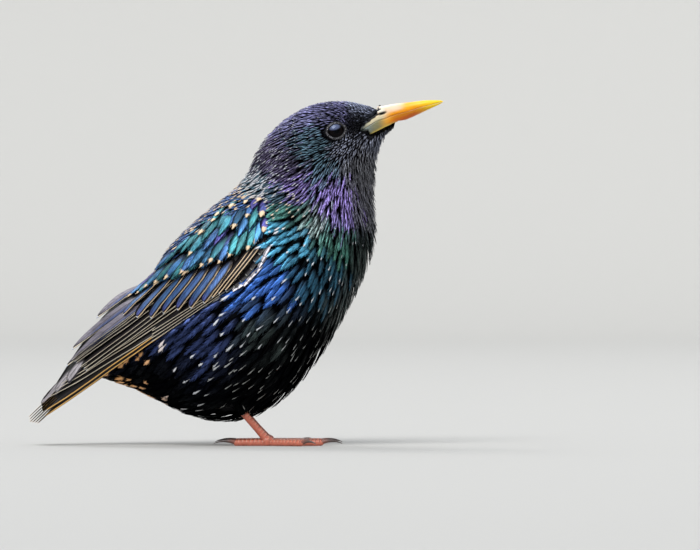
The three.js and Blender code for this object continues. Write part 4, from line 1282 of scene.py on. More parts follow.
def row_feathers(heap, row, seed):
    """The feathers of one row of the left wing, each with its lower edge over the next."""
    roots, tips = guided(row.roots, row.count), guided(row.tips, row.count)
    tilt = LONE_TILT
    if row.count > 1:
        line = (tips - roots)[:-1]
        apart = np.diff((roots + tips) / 2, axis=0)
        area = np.abs(line[:, 0] * apart[:, 1] - line[:, 1] * apart[:, 0])
        tilt = min(MOST_TILT, math.atan(STEP / np.mean(area / np.linalg.norm(line, axis=1))))
    rng = np.random.default_rng(seed)
    for i, (root, tip) in enumerate(zip(roots, tips)):
        tip = tip + rng.normal(0, row.width / 14, 2) * (row.look != "tertial")
        place = mix(root, tip, ALONG[:, None])
        point, out = fold_form.on(place[:, 0], place[:, 1])
        # At the rear a feather may reach past the form's outline in the side view.
        rear = place[:, 0] - TERTIAL_AHEAD * (row.look == "tertial")
        point[:, [0, 2]] = mix(point[:, [0, 2]], place, rear_of(rear))
        lift = mix(row.sink, row.rise, np.minimum(1, ALONG * 1.4)) + rng.uniform(-0.05, 0.05)
        path = point + sideways(rear, out, 1.0) * lift[:, None]
        path[:, 1] = np.maximum(path[:, 1], row.floor)
        ahead = unit(np.gradient(path, axis=0))
        out = turned(sideways(rear, out, FACE_ASIDE.get(row.look, 0.0)), ahead, -tilt)
        bake = np.array([0.05 + 0.9 * i / row.count, 0.05 + 0.08 * ROWS.index(row)])
        width = row.width / 2 * rng.uniform(0.95, 1.05)
        profile = TERTIAL if row.look == "tertial" else BLADE
        blade(heap, path, out, width, row.look, profile, seed * 31 + i, bake)


def mirrored(made, name):
    """A copy of a piece on the other side of the bird."""
    mesh = made.data.copy()
    mesh.transform(Matrix.Scale(-1, 4, (0, 1, 0)))
    mesh.flip_normals()
    return new_object(name, mesh)


def dress_pair(heap, title, material, slot, node):
    """Makes a heap's left piece and its mirror image, and dresses both. In node {} stands for the side."""
    left = heap.mesh(title + "_left")
    right = mirrored(left, title + "_right")
    dress(left, material, slot, node.format("left"))
    dress(right, material, slot, node.format("right"))


MIDDLE_GAP = 0.15  # the feathers of wings and tail keep this far off the middle plane of the bird

# The ground of the folded wing under its feathers, painted dark as shade, a little smaller than the wing:
# upper and lower edge.
GROUND_TOP = [(12, 99), (-4, 95.5), (-20, 82.5), (-33, 68.5), (-45, 57.2), (-54.5, 48.3), (-63, 37),
              (-68, 28), (-75.5, 14.5)]
GROUND_LOW = [(12, 81), (7, 70.5), (-0.5, 64), (-21.5, 50), (-33, 42), (-45, 32.3), (-54, 25), (-65, 18.5),
              (-75, 13.3)]
GROUND_LIFT = (-2.4, -2.75)  # where its outer and inner faces lie off the wing's surface
GROUND_AHEAD = 12.0  # how much farther forward than feathers it turns to the side


def wing_ground(heap):
    """Adds the closed shell under the wing's feathers, so that no light falls through between them. It is
    painted in a darkened copy of the flight feathers' colour, a painted shade.
    """
    stations, rows = 60, 14
    top, low = guided(GROUND_TOP, stations), guided(GROUND_LOW, stations)
    none = (0.0, 0.0, 0.0, 0.0)
    v = np.linspace(0, 1, rows)[None, :, None]
    place = mix(top[:, None], low[:, None], v)
    point, out = fold_form.on(place[..., 0], place[..., 1])
    out = sideways(place[..., 0] - GROUND_AHEAD, out, 1.0)
    ring = np.concatenate([point + out * GROUND_LIFT[0], (point + out * GROUND_LIFT[1])[:, ::-1]], 1)
    # The flight feathers' colour at a third: painted shade of the depths under the feathers.
    dark = np.append(paint("flight") * 0.3, 5.0)
    heap.add(
        ring.reshape(-1, 3), face_loft((stations, 2 * rows)), Share=(0.0, 0.0), Size=(5.0, 9.0),
        Edge=(9.0, 9.0), OFBake=(0.02, 0.98), tint=dark, web=dark, fringe=none, tip=none,
    )


# The small coverts and scapulars in the side view: where their tips and their roots may lie.
COVERT_TIPS = [(12.5, 97), (5, 98), (-4, 94.3), (-20, 81.6), (-33, 67.4), (-42.5, 57.2), (-26, 63.5),
               (-6, 71.3), (6.5, 76.3), (11.5, 83)]
COVERT_ROOTS = [(14, 78), (14.2, 92), (12.5, 102), (3, 102), (-4, 96.8), (-20, 84), (-33, 70), (-46, 58),
                (-50, 45), (0, 55)]
COVERT_EDGE = [(7.5, 77.8), (5, 76.2), (-6, 71.8), (-19, 67.6), (-27, 64.2), (-36, 61.4), (-42, 57.4)]
COVERT_LOWEST = 15  # feathers whose tips make the lower edge
LOWEST_PALE = 1.7  # how much more often these have pale tips
COVERT_TRIES = 9000  # how many places are tried
COVERT_APART = (3.0, 8.0)  # how far their tips are apart across and along
COVERT_SHORT, COVERT_LONG, COVERT_HALF = 5.0, 20.0, 2.5  # their least and greatest length, and half width
COVERT_LIE = ((-40, -10, 12), (228, 240, 257))  # at these places along the bird they point at these angles
COVERT_LIFT = (-2.2, 0.0)  # where their roots and tips lie off the wing's surface
COVERT_ARCH = 0.14
COVERT_BARBS = 14
COVERT = [(0, 0.4), (0.2, 0.7), (0.4, 0.95), (0.6, 1), (0.74, 0.88), (0.84, 0.62), (0.9, 0.4), (0.95, 0.22),
          (1, 0.03)]  # their half outline
COVERT_LAYERS = [(40, 0.4, 0.15), (41, 0.0, 0.45)]  # seed, how deep tips lie, and the share of pale ones


def side_view(places):
    """Points with the x and z of places in the side view."""
    return np.stack([places[:, 0], 0 * places[:, 0], places[:, 1]], 1)


def covert_vanes(heap, seed, drop, pale):
    """Adds a layer of the left wing's small coverts and scapulars. pale is the share with pale tips."""
    rng = np.random.default_rng(seed)
    corners = np.array(COVERT_TIPS)
    tips = rng.uniform(corners.min(0), corners.max(0), (COVERT_TRIES, 2))
    tips = tips[inside(side_view(tips), COVERT_TIPS)]
    tips = np.concatenate([guided(COVERT_EDGE, COVERT_LOWEST) + rng.normal(0, 0.5, (COVERT_LOWEST, 2)), tips])
    angle = np.interp(tips[:, 0], *COVERT_LIE) * DEGREE
    heading = np.stack([np.cos(angle), np.sin(angle)], 1)
    kept = list(range(COVERT_LOWEST))
    for i, tip in enumerate(tips):
        away = tips[kept] - tip
        along, across = away @ heading[i], away @ np.array([-heading[i, 1], heading[i, 0]])
        if ((across / COVERT_APART[0]) ** 2 + (along / COVERT_APART[1]) ** 2 > 1).all():
            kept.append(i)
    tips, heading = tips[kept], heading[kept]
    long = np.full(len(tips), COVERT_SHORT)
    for step in np.arange(COVERT_SHORT, COVERT_LONG + 0.1, 0.5):
        long[inside(side_view(tips - heading * step), COVERT_ROOTS)] = step
    long *= rng.uniform(0.9, 1, len(tips))
    t = np.array(COVERT)[:, 0]
    place = tips[:, None] - heading[:, None] * (long[:, None] * (1 - t))[..., None]
    point, out = fold_form.on(place[..., 0], place[..., 1])
    lift = mix(*COVERT_LIFT, t) + rng.uniform(-0.1, 0.3, (len(tips), 1)) * t**2 - drop * t
    half = COVERT_HALF * rng.uniform(0.85, 1.12, len(tips)) * smooth(2, 12, long) ** 0.3
    # Blue ones are everywhere. Green ones join them in the middle of the wing, violet ones high at its front.
    x, z = tips.T
    weights = np.stack([smooth(-46, -18, x) * (1 - smooth(0, 12, x)), np.full(len(x), 0.9),
                        0.2 + smooth(-8, 8, x) * smooth(80, 92, z)], 1)
    chance = (weights / weights.sum(1, keepdims=True)).cumsum(1)
    chosen = (chance > rng.random((len(x), 1))).argmax(1)
    glosses = np.array([paint("covert_green"), paint("covert_blue"), paint("covert_violet")])
    tint = mix(glosses[chosen], glosses[rng.integers(0, 3, len(x))], 0.2) * rng.uniform(0.5, 1.2, (len(x), 1))
    chance_pale = np.where(np.arange(len(x)) < COVERT_LOWEST, min(1, pale * LOWEST_PALE), pale)
    tip_length = rng.uniform(1.4, 2.8, len(x)) * (rng.random(len(x)) < chance_pale)
    spot = rng.uniform(0.8, 1.8, len(x))
    buff = np.tile(paint("buff"), (len(x), 1))
    bake = 0.05 + 0.9 * (tips - corners.min(0)) / (corners.max(0) - corners.min(0))
    feathers(
        heap, point + out * lift[..., None], out, half, COVERT, KEELED, COVERT_ARCH, long,
        np.hstack([tint, spot[:, None]]), np.hstack([buff, tip_length[:, None]]), bake, COVERT_BARBS, rng,
    )


def build_wings():
    """Both folded wings: the ground and flight feathers, the large coverts in rows, and the small coverts."""
    gloss = flight_material("covert_gloss", 0.4, 0.38)
    satin = flight_material("flight_keratin", 0.12, 0.45)
    kinds = (("coverts", ROWS[FLIGHT_ROWS:], gloss), ("flights", ROWS[:FLIGHT_ROWS], satin))
    for title, rows, material in kinds:
        heap = Heap(MIDDLE_GAP)
        if title == "flights":
            wing_ground(heap)
        for seed, row in enumerate(rows):
            row_feathers(heap, row, 400 + seed)
        dress_pair(heap, f"wing_{title}", material, "wing_plumage", "wing_{}")
    heap = Heap(MIDDLE_GAP)
    for seed, drop, pale in COVERT_LAYERS:
        covert_vanes(heap, seed, drop, pale)
    oily = contour_material("barbule_gloss_coverts", 0.55, 0.4, 0.25, "MAXIMUM")
    dress_pair(heap, "covert_vanes", oily, "wing_plumage", "wing_{}")


TAIL_PAIRS = 6
TAIL_OPEN = ((0, 0.3, 0.65, 1), (0.5, 0.72, 0.9, 1))  # how wide the tail is along it, as a share of its end
TAIL_INNER, TAIL_OUTER = 0.75, 1.05  # how much farther out each feather's two edges lie than the last one's
TAIL_DOWN = 0.78  # how much lower each lies
TAIL_LEAN = -0.09  # how far each leans over the next, in radians
TAIL_OVERLAP = 1.12  # how much wider each is than its place


def build_tail():
    """The folded tail: six pairs of feathers stepped down and out from the middle pair."""
    root, tip = np.array(TAIL_ROOT, float), np.array(TAIL_TIP, float)
    ahead = unit(np.append(tip - root, 0))[[0, 2, 1]]
    up = np.array([ahead[2], 0, -ahead[0]])
    long = np.hypot(*(tip - root))
    spread = np.interp(ALONG, *TAIL_OPEN)
    heap = Heap(MIDDLE_GAP)
    for i in range(TAIL_PAIRS):
        inner = TAIL_INNER * i * spread
        outer = (TAIL_HALF - (TAIL_PAIRS - 1 - i) * TAIL_OUTER) * spread
        reach = (1 - 0.012 * abs(i - 2)) * ALONG * long
        y = (inner + outer) / 2
        level = -i * TAIL_DOWN * (0.55 + 0.45 * spread) - 0.05 * y
        path = np.array([root[0], 0, root[1]]) + ahead * reach[:, None] + up * level[:, None]
        path[:, 1] = y
        lean = turned(np.broadcast_to(up, path.shape), np.broadcast_to(ahead, path.shape), TAIL_LEAN)
        half = (outer - inner)[STATIONS // 2] / 2 * TAIL_OVERLAP
        bake = np.array([0.1 + 0.15 * i, 0.7])
        blade(heap, path, lean, half, "tail", BLADE, 701 + 2 * i, bake, skew=0.0)
    dress_pair(heap, "tail_feathers", flight_material("tail_keratin", 0.08, 0.45), "tail_plumage", "tail")


def bill_half(ridge, way):
    """The points and faces of one half of the bill, with its share along and its height over the gape."""
    share = np.linspace(0, 1, BILL_STATIONS)
    crown, seam = spline(ridge, share), spline(TOMIUM, share)
    half = spline([(i, w) for i, w in enumerate(BILL_HALF)], share)[:, 1]
    turn = np.linspace(0, math.pi, BILL_SIDES)
    up = np.sin(turn) ** 0.85
    rise = crown - seam
    # The halves keep 0.06 mm off the line where they meet, and are never thinner than 0.25 mm.
    height = np.maximum(0.25, np.abs(rise[:, 1]) - 0.15)
    x = seam[:, :1] + rise[:, :1] * up
    z = seam[:, 1:] + way * 0.06 + way * height[:, None] * up
    blunt = mix(BILL_BLUNT, 1, smooth(54, 66, seam[:, :1])) if way < 0 else 1.0
    y = half[:, None] * np.sign(np.cos(turn)) * np.abs(np.cos(turn)) ** blunt
    place = np.stack(np.broadcast_arrays(share[:, None], up), -1).reshape(-1, 2)
    return np.stack([x, y, z], -1).reshape(-1, 3), face_loft((BILL_STATIONS, BILL_SIDES)), place


def keratin_material():
    """Bill horn: a thin, translucent sheath of smooth keratin, glossy, with fine streaks along it."""
    made, tree = new_material("bill_horn")
    tint = add(tree, "Attribute", attribute_name="tint")
    place = add(tree, "VectorMath", {0: (add(tree, "TexCoord"), 3), 1: (0.2, 1, 1)}, **TIMES)
    # Growth streaks about 0.5 mm wide and five times as long.
    streaks = add(tree, "TexNoise", {0: place, "Scale": 1 / (0.5 * MM), "Detail": 3})
    shade = add(tree, "MapRange", {0: streaks, 1: 0.3, 2: 0.7, 3: 0.92, 4: 1.06})
    base = add(tree, "VectorMath", {0: tint, "Scale": shade}, operation="SCALE")
    bump = add(tree, "Bump", {"Height": streaks, "Strength": 0.3, "Distance": 0.06 * MM})
    shader = add(tree, "BsdfPrincipled", {
        "Base Color": base, "Roughness": 0.34, "IOR": 1.54, "Normal": bump, "Specular IOR Level": 0.32,
        "Subsurface Weight": 0.08, "Subsurface Radius": (1.0, 0.5, 0.1), "Subsurface Scale": 0.8 * MM,
    })
    add(tree, "OutputMaterial", {0: shader})
    return made


UNDER_EDGE = np.array([0.5, 0.0, -0.65])  # the horn keeps its full size this far under the feathers' edge
HIDDEN_BY = 1.3  # how much thinner it is under the feathers
NOSTRIL_TURN = 16 * DEGREE  # how far the nostril's slit rises forwards
NOSTRIL_HALF, NOSTRIL_DEEP = (2.3, 0.65), 0.75  # half its length and height, and its depth
FLAP_HALF, FLAP_OVER, FLAP_HIGH = (2.2, 0.75), 1.0, 0.22  # the bulging flap over the slit


def painted(tint, *layers):
    """A tint with layers over it, each a colour and how much of it every point has."""
    for coat, weight in layers:
        tint = mix(tint, coat, weight[:, None])
    return tint


def nostril(points):
    """How far points of the upper half lie in the nostril's slit and on the flap over it."""
    away = points - np.array([NOSTRIL[0], 0, NOSTRIL[1]])
    along = away[:, 0] * math.cos(NOSTRIL_TURN) + away[:, 2] * math.sin(NOSTRIL_TURN)
    over = -away[:, 0] * math.sin(NOSTRIL_TURN) + away[:, 2] * math.cos(NOSTRIL_TURN)
    hollow = 1 - smooth(0.55, 1.05, np.hypot(along / NOSTRIL_HALF[0], over / NOSTRIL_HALF[1]))
    flap = 1 - smooth(0.6, 1.0, np.hypot(along / FLAP_HALF[0], (over - FLAP_OVER) / FLAP_HALF[1]))
    return hollow, flap


def upper_colours(tint, x, height):
    """The upper half's colours: orange at its edge, a painted highlight along its ridge near the base and
    horn grey at its base.
    """
    return painted(
        tint,
        (fixed("#ff9c00"), 0.85 * (1 - smooth(0.1, 0.6, height)) * smooth(57, 62, x)),
        (fixed("#ffdc50"), 0.8 * smooth(62, 74, x) * smooth(0.35, 0.8, height)),
        (fixed("#e8dcb8"), 1 - smooth(56, 61, x)),
        (fixed("#f4d2b0"), (1 - smooth(62.5, 67, x)) * smooth(0.2, 0.55, height)),
        # A whitish line along the ridge near the base: a painted highlight.
        (fixed("#fff2de"), 0.9 * (1 - smooth(60, 68, x)) * smooth(0.75, 0.95, height)),
        (paint("horn"), 1 - smooth(49, 53, x)),
    )


def lower_colours(tint, x, height):
    """The colours of the lower half: deep orange, with a grey base and a pale line along its keel there."""
    keel = smooth(0.6, 0.9, height) * smooth(51, 54, x)
    return painted(
        tint,
        (fixed("#c27600"), smooth(57, 62, x)),
        (fixed("#cc5a00"), 0.9 * smooth(58, 63, x) * smooth(0.2, 0.8, height)),
        (fixed("#807c5a"), 1 - smooth(55, 61, x)),
        (paint("horn"), 1 - smooth(51, 55, x)),
        (fixed("#eed05a"), 0.8 * keel * (1 - smooth(60, 65, x))),
    )


def build_bill():
    """Both halves of the bill, with the nostrils and the horn's colours."""
    material = keratin_material()
    for name, ridge, way in (("upper", CULMEN, 1), ("lower", GONYS, -1)):
        points, faces, place = bill_half(ridge, way)
        hidden, covered = ~inside(points + UNDER_EDGE, BARE), ~inside(points, BARE)
        points[:, 1] -= np.sign(points[:, 1]) * np.minimum(np.abs(points[:, 1]), HIDDEN_BY) * hidden
        points[:, 2] -= way * HIDDEN_BY * place[:, 1] * hidden
        x, height = points[:, 0], place[:, 1]
        tint = np.tile(paint("bill"), (len(points), 1))
        if name == "upper":
            tint = upper_colours(tint, x, height)
            hollow, flap = nostril(points)
            out = np.sign(points[:, 1]) * (np.abs(points[:, 1]) > 0.4)
            points[:, 1] += out * (FLAP_HIGH * flap - NOSTRIL_DEEP * hollow)
            # The slit is painted near black, a painted shade in its hollow; the flap over it is paler.
            tint = painted(tint, (fixed("#e6e6d6"), 0.8 * flap), (fixed("#140c0a"), hollow))
        else:
            tint = lower_colours(tint, x, height)
        tint = painted(tint, (fixed("#ffd800"), 0.85 * smooth(69, 78, x)), (paint("lores"), covered))
        heap = Heap()
        heap.add(points, faces, tint=opaque(tint))
        dress(heap.mesh(f"bill_{name}_horn"), material, "bill", f"bill_{name}")


def eye_axis():
    """The left eye's middle, its radius, and its outward direction, from the solids."""
    low, high = (np.array(corner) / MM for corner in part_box("eye_left"))
    _place, out = head_form.on(np.array([EYE[0]]), np.array([EYE[1]]))
    return (low + high) / 2, (high - low)[2] / 2, out[0]


def eye_material():
    """A cornea under its film of tears over a dark brown iris: near black, and glossier above, where it
    mirrors the sky and where a bluish reflection of the sky is also painted into its tint."""
    made, tree = new_material("wet_cornea")
    tint = add(tree, "Attribute", attribute_name="tint")
    shader = add(tree, "BsdfPrincipled", {
        "Base Color": tint, "Roughness": 0.06, "IOR": 1.376, "Specular IOR Level": (tint, "Alpha"),
        "Specular Tint": (0.72, 0.82, 1.0, 1),
    })
    add(tree, "OutputMaterial", {0: shader})
    return made


def lid_material():
    """Bare lid skin: matt, blackish, with pale horny granules."""
    made, tree = new_material("lid_skin")
    tint = add(tree, "Attribute", attribute_name="tint")
    _grain, bump = grained(tree, 0.3, 3, 0.5, 0.06)
    shader = add(tree, "BsdfPrincipled", {"Base Color": tint, "Roughness": 0.5, "IOR": 1.45, "Normal": bump})
    add(tree, "OutputMaterial", {0: shader})
    return made


EYE_TURN = 14 * DEGREE  # how far the eye's long axis rises forwards
IRIS_END = (0.62, 0.72)  # the iris reaches this far round the ball, in radians, and dark skin follows
# The painted reflection of the sky on the cornea: its middle and half size before and above the eye's, as
# shares of its radius.
PAINTED_SKY_AT, PAINTED_SKY_HALF = (-0.08, 0.4), (0.6, 0.33)
# The lids' section: out from the ring's line, and up from the skin.
LID_SECTION = [(-0.42, -0.25), (-0.36, 0.1), (-0.1, 0.3), (0.25, 0.26), (0.6, -0.05), (0.95, -0.9),
               (-0.4, -1.1)]
LID_STEPS = 72
LID_POINTED = 0.06  # how much farther than an ellipse the ring reaches at both ends
GRANULES = 38  # in each of the two rows on the lids


def eye_directions(out):
    """The eye's long axis and the direction above it, for an outward direction."""
    fore = np.array([math.cos(EYE_TURN), 0, math.sin(EYE_TURN)])
    fore = unit(fore - out * (fore @ out))
    over = np.cross(out, fore)
    return fore, over * (1 if over[2] > 0 else -1)


def ball(polar, sides, out, fore, over):
    """Directions all round, by rings at these angles off the outward direction."""
    polar = np.asarray(polar)[:, None]
    turn = circle(sides)[None, :]
    return (np.cos(polar)[..., None] * out + (np.sin(polar) * np.cos(turn))[..., None] * fore
            + (np.sin(polar) * np.sin(turn))[..., None] * over)


def build_eyeballs():
    """The eyeballs, each with pupil, iris and a painted reflection of the sky."""
    middle, radius, out = eye_axis()
    fore, over = eye_directions(out)
    rows, sides = 40, 48
    polar = np.linspace(0.02, math.pi - 0.02, rows)
    points = (middle + ball(polar, sides, out, fore, over) * radius).reshape(-1, 3)
    around = np.repeat(polar, sides)
    pupil = sizes().pupil / MM / radius
    across, above = (points - middle) @ fore / radius, (points - middle) @ over / radius
    # The eye mirrors the sky above and shaded ground below, which a pale studio hasn't, so its film of tears
    # is drawn glossier above, and a bluish reflection of the sky is painted into its colour there.
    far = np.hypot((across - PAINTED_SKY_AT[0]) / PAINTED_SKY_HALF[0], (above - PAINTED_SKY_AT[1]) / PAINTED_SKY_HALF[1])
    sky = 1 - smooth(0.6, 1.15, far)
    tint = mix(fixed("#030303"), paint("iris"), smooth(pupil - 0.03, pupil + 0.03, around)[:, None])
    tint = painted(tint, (fixed("#0a0706"), smooth(*IRIS_END, around)), (fixed("#646e90"), 0.75 * sky))
    heap = Heap()
    heap.add(points, face_loft((rows, sides)), tint=np.hstack([tint, mix(0.1, 0.6, sky)[:, None]]))
    dress_pair(heap, "eyeball", eye_material(), "eye", "eye_{}")


def lid_place(angle, off, up, out, fore, over):
    """Places of the ring of lids at an angle, off millimetres outside its line and up from the skin."""
    centre = head_form.on(np.array([EYE[0]]), np.array([EYE[1]]))[0][0]
    pointed = 1 + LID_POINTED * np.cos(angle) ** 8
    return (centre + ((LID_RING[0] * pointed + off) * np.cos(angle))[..., None] * fore
            + ((LID_RING[1] + off) * np.sin(angle))[..., None] * over + np.asarray(up)[..., None] * out)


def build_lids():
    """The bare ring of lids round each eye, with two rows of pale granules."""
    out = eye_axis()[2]
    fore, over = eye_directions(out)
    turn = circle(LID_STEPS)[:, None]
    section = np.array(LID_SECTION)
    sides = len(section)
    ring = lid_place(turn, section[:, 0], section[:, 1], out, fore, over)
    i, j = (grid.ravel() for grid in np.meshgrid(np.arange(LID_STEPS), np.arange(sides), indexing="ij"))
    steps = ((0, 0), (1, 0), (1, 1), (0, 1))
    quads = np.stack([(i + a) % LID_STEPS * sides + (j + b) % sides for a, b in steps], -1)
    heap = Heap()
    heap.add(ring.reshape(-1, 3), (quads, np.zeros((0, 3), int)), tint=np.append(fixed("#101014"), 1.0))
    rng = np.random.default_rng(5)
    for k in range(2 * GRANULES):
        angle = np.array((k / 2 + rng.uniform(-0.15, 0.15)) / GRANULES * 2 * math.pi)
        off = 0.14 if k % 2 else 0.46
        place = lid_place(angle, off, 0.34 - 0.5 * off, out, fore, over)
        size = rng.uniform(0.09, 0.19) if k % 2 else rng.uniform(0.06, 0.15)
        bead = place + ball(np.linspace(0.15, math.pi - 0.15, 5), 6, out * 0.7, fore, over) * size
        grey = fixed("#d0cdd6") * rng.uniform(0.05, 0.9)
        heap.add(bead.reshape(-1, 3), face_loft((5, 6)), tint=np.append(grey, 1.0))
    dress_pair(heap, "lids", lid_material(), "eye", "head")


def scale_material():
    """Leg scales: thick horny plates over soft skin, satin and orange red, with painted shade in the grooves
    between.
    """
    made, tree = new_material("horny_scutes")
    tint = add(tree, "Attribute", attribute_name="tint")
    grain, bump = grained(tree, 0.8, 4, 0.4, 0.08)
    shade = add(tree, "MapRange", {0: grain, 1: 0.3, 2: 0.7, 3: 0.8, 4: 1.12})
    base = add(tree, "VectorMath", {0: tint, "Scale": shade}, operation="SCALE")
    shader = add(tree, "BsdfPrincipled", {
        "Base Color": base, "Roughness": 0.42, "IOR": 1.5, "Normal": bump,
        "Subsurface Weight": 0.1, "Subsurface Radius": (1.0, 0.4, 0.25), "Subsurface Scale": 0.7 * MM,
    })
    add(tree, "OutputMaterial", {0: shader})
    return made


def claw_material():
    """Claw horn: smooth, dark grey brown and glossy, paler at its root."""
    made, tree = new_material("claw_horn")
    tint = add(tree, "Attribute", attribute_name="tint")
    shader = add(tree, "BsdfPrincipled", {"Base Color": tint, "Roughness": 0.3, "IOR": 1.54})
    add(tree, "OutputMaterial", {0: shader})
    return made


TOE_ROOT = 0.6  # how far from the place where the toes meet each one begins
SHANK_RADII = [1.365, 1.3, 1.235, 1.235, 1.365, 1.625]  # at even steps from the top to the foot
LIMB_SIDES, CLAW_SIDES = 28, 16


def toe_point(toe, distance, z):
    """A point of the left foot at a distance along a toe."""
    heading, away = toe.turn * DEGREE, TOE_ROOT + distance
    x, y = FOOT[0] + away * math.cos(heading), FOOT[1] + away * math.sin(heading)
    return np.stack([x, y, z + 0 * distance], -1)


def scuted(heap, path, radii, long, joints):
    """Adds a limb with overlapping plates along its upper side and pads between the joints below."""
    count = max(3, round(long / (sizes().scute / MM)))

    def shape(share, turn):
        plate = smooth(0.1, 0.5, np.sin(turn)) * (0.09 * (share * count % 1) - 0.03)
        pad = smooth(0.1, 0.6, -np.sin(turn)) * 0.1 * (0.5 - 0.5 * np.cos(share * joints * 2 * math.pi))
        return 1 + plate + pad

    points, faces = tube(path, radii, LIMB_SIDES, shape)
    points[:, 2] = np.maximum(points[:, 2], 0.0)
    saw = np.repeat(np.linspace(0, 1, len(path)), LIMB_SIDES) * count % 1
    turn = (np.arange(LIMB_SIDES) + 0.5) / LIMB_SIDES * 2 * math.pi
    top = np.tile(smooth(-0.1, 0.5, np.sin(turn)), len(path))
    # Each plate is painted dark on the upper side where it comes out from under the last one, a painted shade
    # in the groove, and paler towards its end.
    tint = painted(
        paint("leg"), (paint("leg") * 0.35, top * (1 - smooth(0.0, 0.2, saw))),
        (fixed("#eab79a"), 0.45 * top * smooth(0.55, 0.95, saw)),
    )
    heap.add(points, faces, tint=opaque(tint))


def build_shanks(material):
    """The scutes round both shanks."""
    t = np.linspace(0, 1, 64)
    low = np.array([FOOT[0] - 0.3, FOOT[1], FOOT[2] + 1.2])
    radii = np.interp(t, np.linspace(0, 1, len(SHANK_RADII)), SHANK_RADII)
    heap = Heap()
    scuted(heap, mix(np.array(SHANK_TOP), low, t[:, None]), radii, 15.0, 1)
    dress_pair(heap, "shank_scutes", material, "leg_skin", "shank_{}")


def build_feet(material):
    """The toes of both feet, and the pad where they meet."""
    heap = Heap()
    t = np.linspace(0, 1, 72)
    for toe in TOES:
        joints = 4 if toe.name == "middle" else 3
        radii = toe.thick * (1 - 0.12 * t) * (1 - 0.3 * smooth(0.94, 1, t))
        scuted(heap, toe_point(toe, t * toe.length, FOOT[2]), radii, toe.length, joints)
    t = np.linspace(-1, 1, 20)
    pad = np.array([FOOT[0], FOOT[1], FOOT[2] + 0.6]) + np.array([2.4, 0, 0]) * t[:, None]
    scuted(heap, pad, 2.1 * np.sqrt(np.maximum(1 - t**2, 0.01)), 4.0, 1)
    dress_pair(heap, "foot_scutes", material, "leg_skin", "foot_{}")


def build_claws(material):
    """The horn sheath of every claw, arched up from the toe and down to its point."""
    t = np.linspace(0, 1, 30)
    arch = 1.05 * np.sin(t * math.pi * 0.62) - 1.45 * t * t
    root = mix(paint("claw"), paint("leg"), 0.35)
    tint = opaque(painted(root, (paint("claw"), smooth(0, 0.5, np.repeat(t, CLAW_SIDES)))))
    for toe in TOES:
        path = toe_point(toe, toe.length - 0.6 + t * toe.claw, FOOT[2] + 0.25 + arch)
        points, faces = tube(path, (1 - t) * 0.82 + 0.1, CLAW_SIDES)
        points[:, 2] = np.maximum(points[:, 2], 0.0)
        heap = Heap()
        heap.add(points, faces, tint=tint)
        dress_pair(heap, f"claw_sheath_{toe.name}", material, "claw", f"claw_{toe.name}_{{}}")


# The floor's profile from its middle out, up the round bend of the backdrop and back underneath, in metres.
BEND_ANGLES = np.linspace(0.1, math.pi / 2, 12)
FLOOR = [
    (0.001, 0), (0.5, 0), (2, 0), (4.5, 0),
    *((4.5 + 1.5 * math.sin(a), 1.5 - 1.5 * math.cos(a)) for a in BEND_ANGLES),
    (6, 4.5), (6.05, 4.5), (6.05, -0.05), (0.001, -0.05),
]
FLOOR_SIDES = 96
# The lights: their name, the place that they shine from, their size in degrees and their strength.
SUNS = [
    ("sky over the camera", (-0.35, -0.8, 1.25), 38, 2.0),
    ("window beside the camera", (-0.32, -0.77, 0.7), 24, 0.55),
    ("sky behind", (-0.5, 0.9, 1.1), 30, 1.0),
]
AIR, AIR_STRENGTH = (0.85, 0.9, 1.0, 1), 0.75
CAMERA_PLACE = (0.0445, -2.5, 0.0663)
CAMERA_WIDTH = 0.273  # what the frame takes in at the bird, in metres
SENSOR = 36.0


def soft_sun(name, place, spread, strength):
    """A wide, even light that shines on the bird from the direction of a place."""
    data = bpy.data.lights.new(name, "SUN")
    data.angle, data.energy = spread * DEGREE, strength
    made = new_object(name, data)
    made.rotation_euler = (-Vector(place)).to_track_quat("-Z", "Y").to_euler()


def build_floor():
    """A pale floor that curves up into a round backdrop."""
    turn = circle(FLOOR_SIDES)[None, :]
    r, z = np.array(FLOOR).T[:, :, None] / MM
    points = np.stack([r * np.cos(turn), r * np.sin(turn), z + 0 * turn], -1).reshape(-1, 3)
    heap = Heap()
    heap.add(points, face_loft((len(FLOOR), FLOOR_SIDES)))
    floor = heap.mesh("studio_floor")
    made, tree = new_material("matt_paint")
    shader = add(tree, "BsdfPrincipled", {"Base Color": (*paint("floor"), 1), "Roughness": 0.9})
    add(tree, "OutputMaterial", {0: shader})
    floor.data.materials.append(made)


def build_camera():
    """A long lens at the photograph's place."""
    data = bpy.data.cameras.new("camera")
    data.sensor_width, data.lens = SENSOR, SENSOR * -CAMERA_PLACE[1] / CAMERA_WIDTH
    data.clip_end = 30
    camera = new_object("camera", data)
    camera.location = CAMERA_PLACE
    camera.rotation_euler = (math.pi / 2, 0, 0)
    bpy.context.scene.camera = camera


def build_stage():
    """The floor, soft lights, the air's light and the camera."""
    build_floor()
    for sun in SUNS:
        soft_sun(*sun)
    world = bpy.data.worlds.new("studio air")
    world.use_nodes = True
    for number, value in enumerate((AIR, AIR_STRENGTH)):
        world.node_tree.nodes["Background"].inputs[number].default_value = value
    bpy.context.scene.world = world
    build_camera()
    bpy.context.scene.view_settings.view_transform = "Standard"


class STARLING_OT_skin(bpy.types.Operator):
    """Builds the skin under the plumage"""

    bl_idname = "starling.skin"
    bl_label = "Skin"

    def execute(self, context):
        build_skin()
        return {"FINISHED"}


class STARLING_OT_head_coat(bpy.types.Operator):
    """Builds the small feathers of the head"""

    bl_idname = "starling.head_coat"
    bl_label = "Head feathers"

    def execute(self, context):
        build_coat("head")
        return {"FINISHED"}


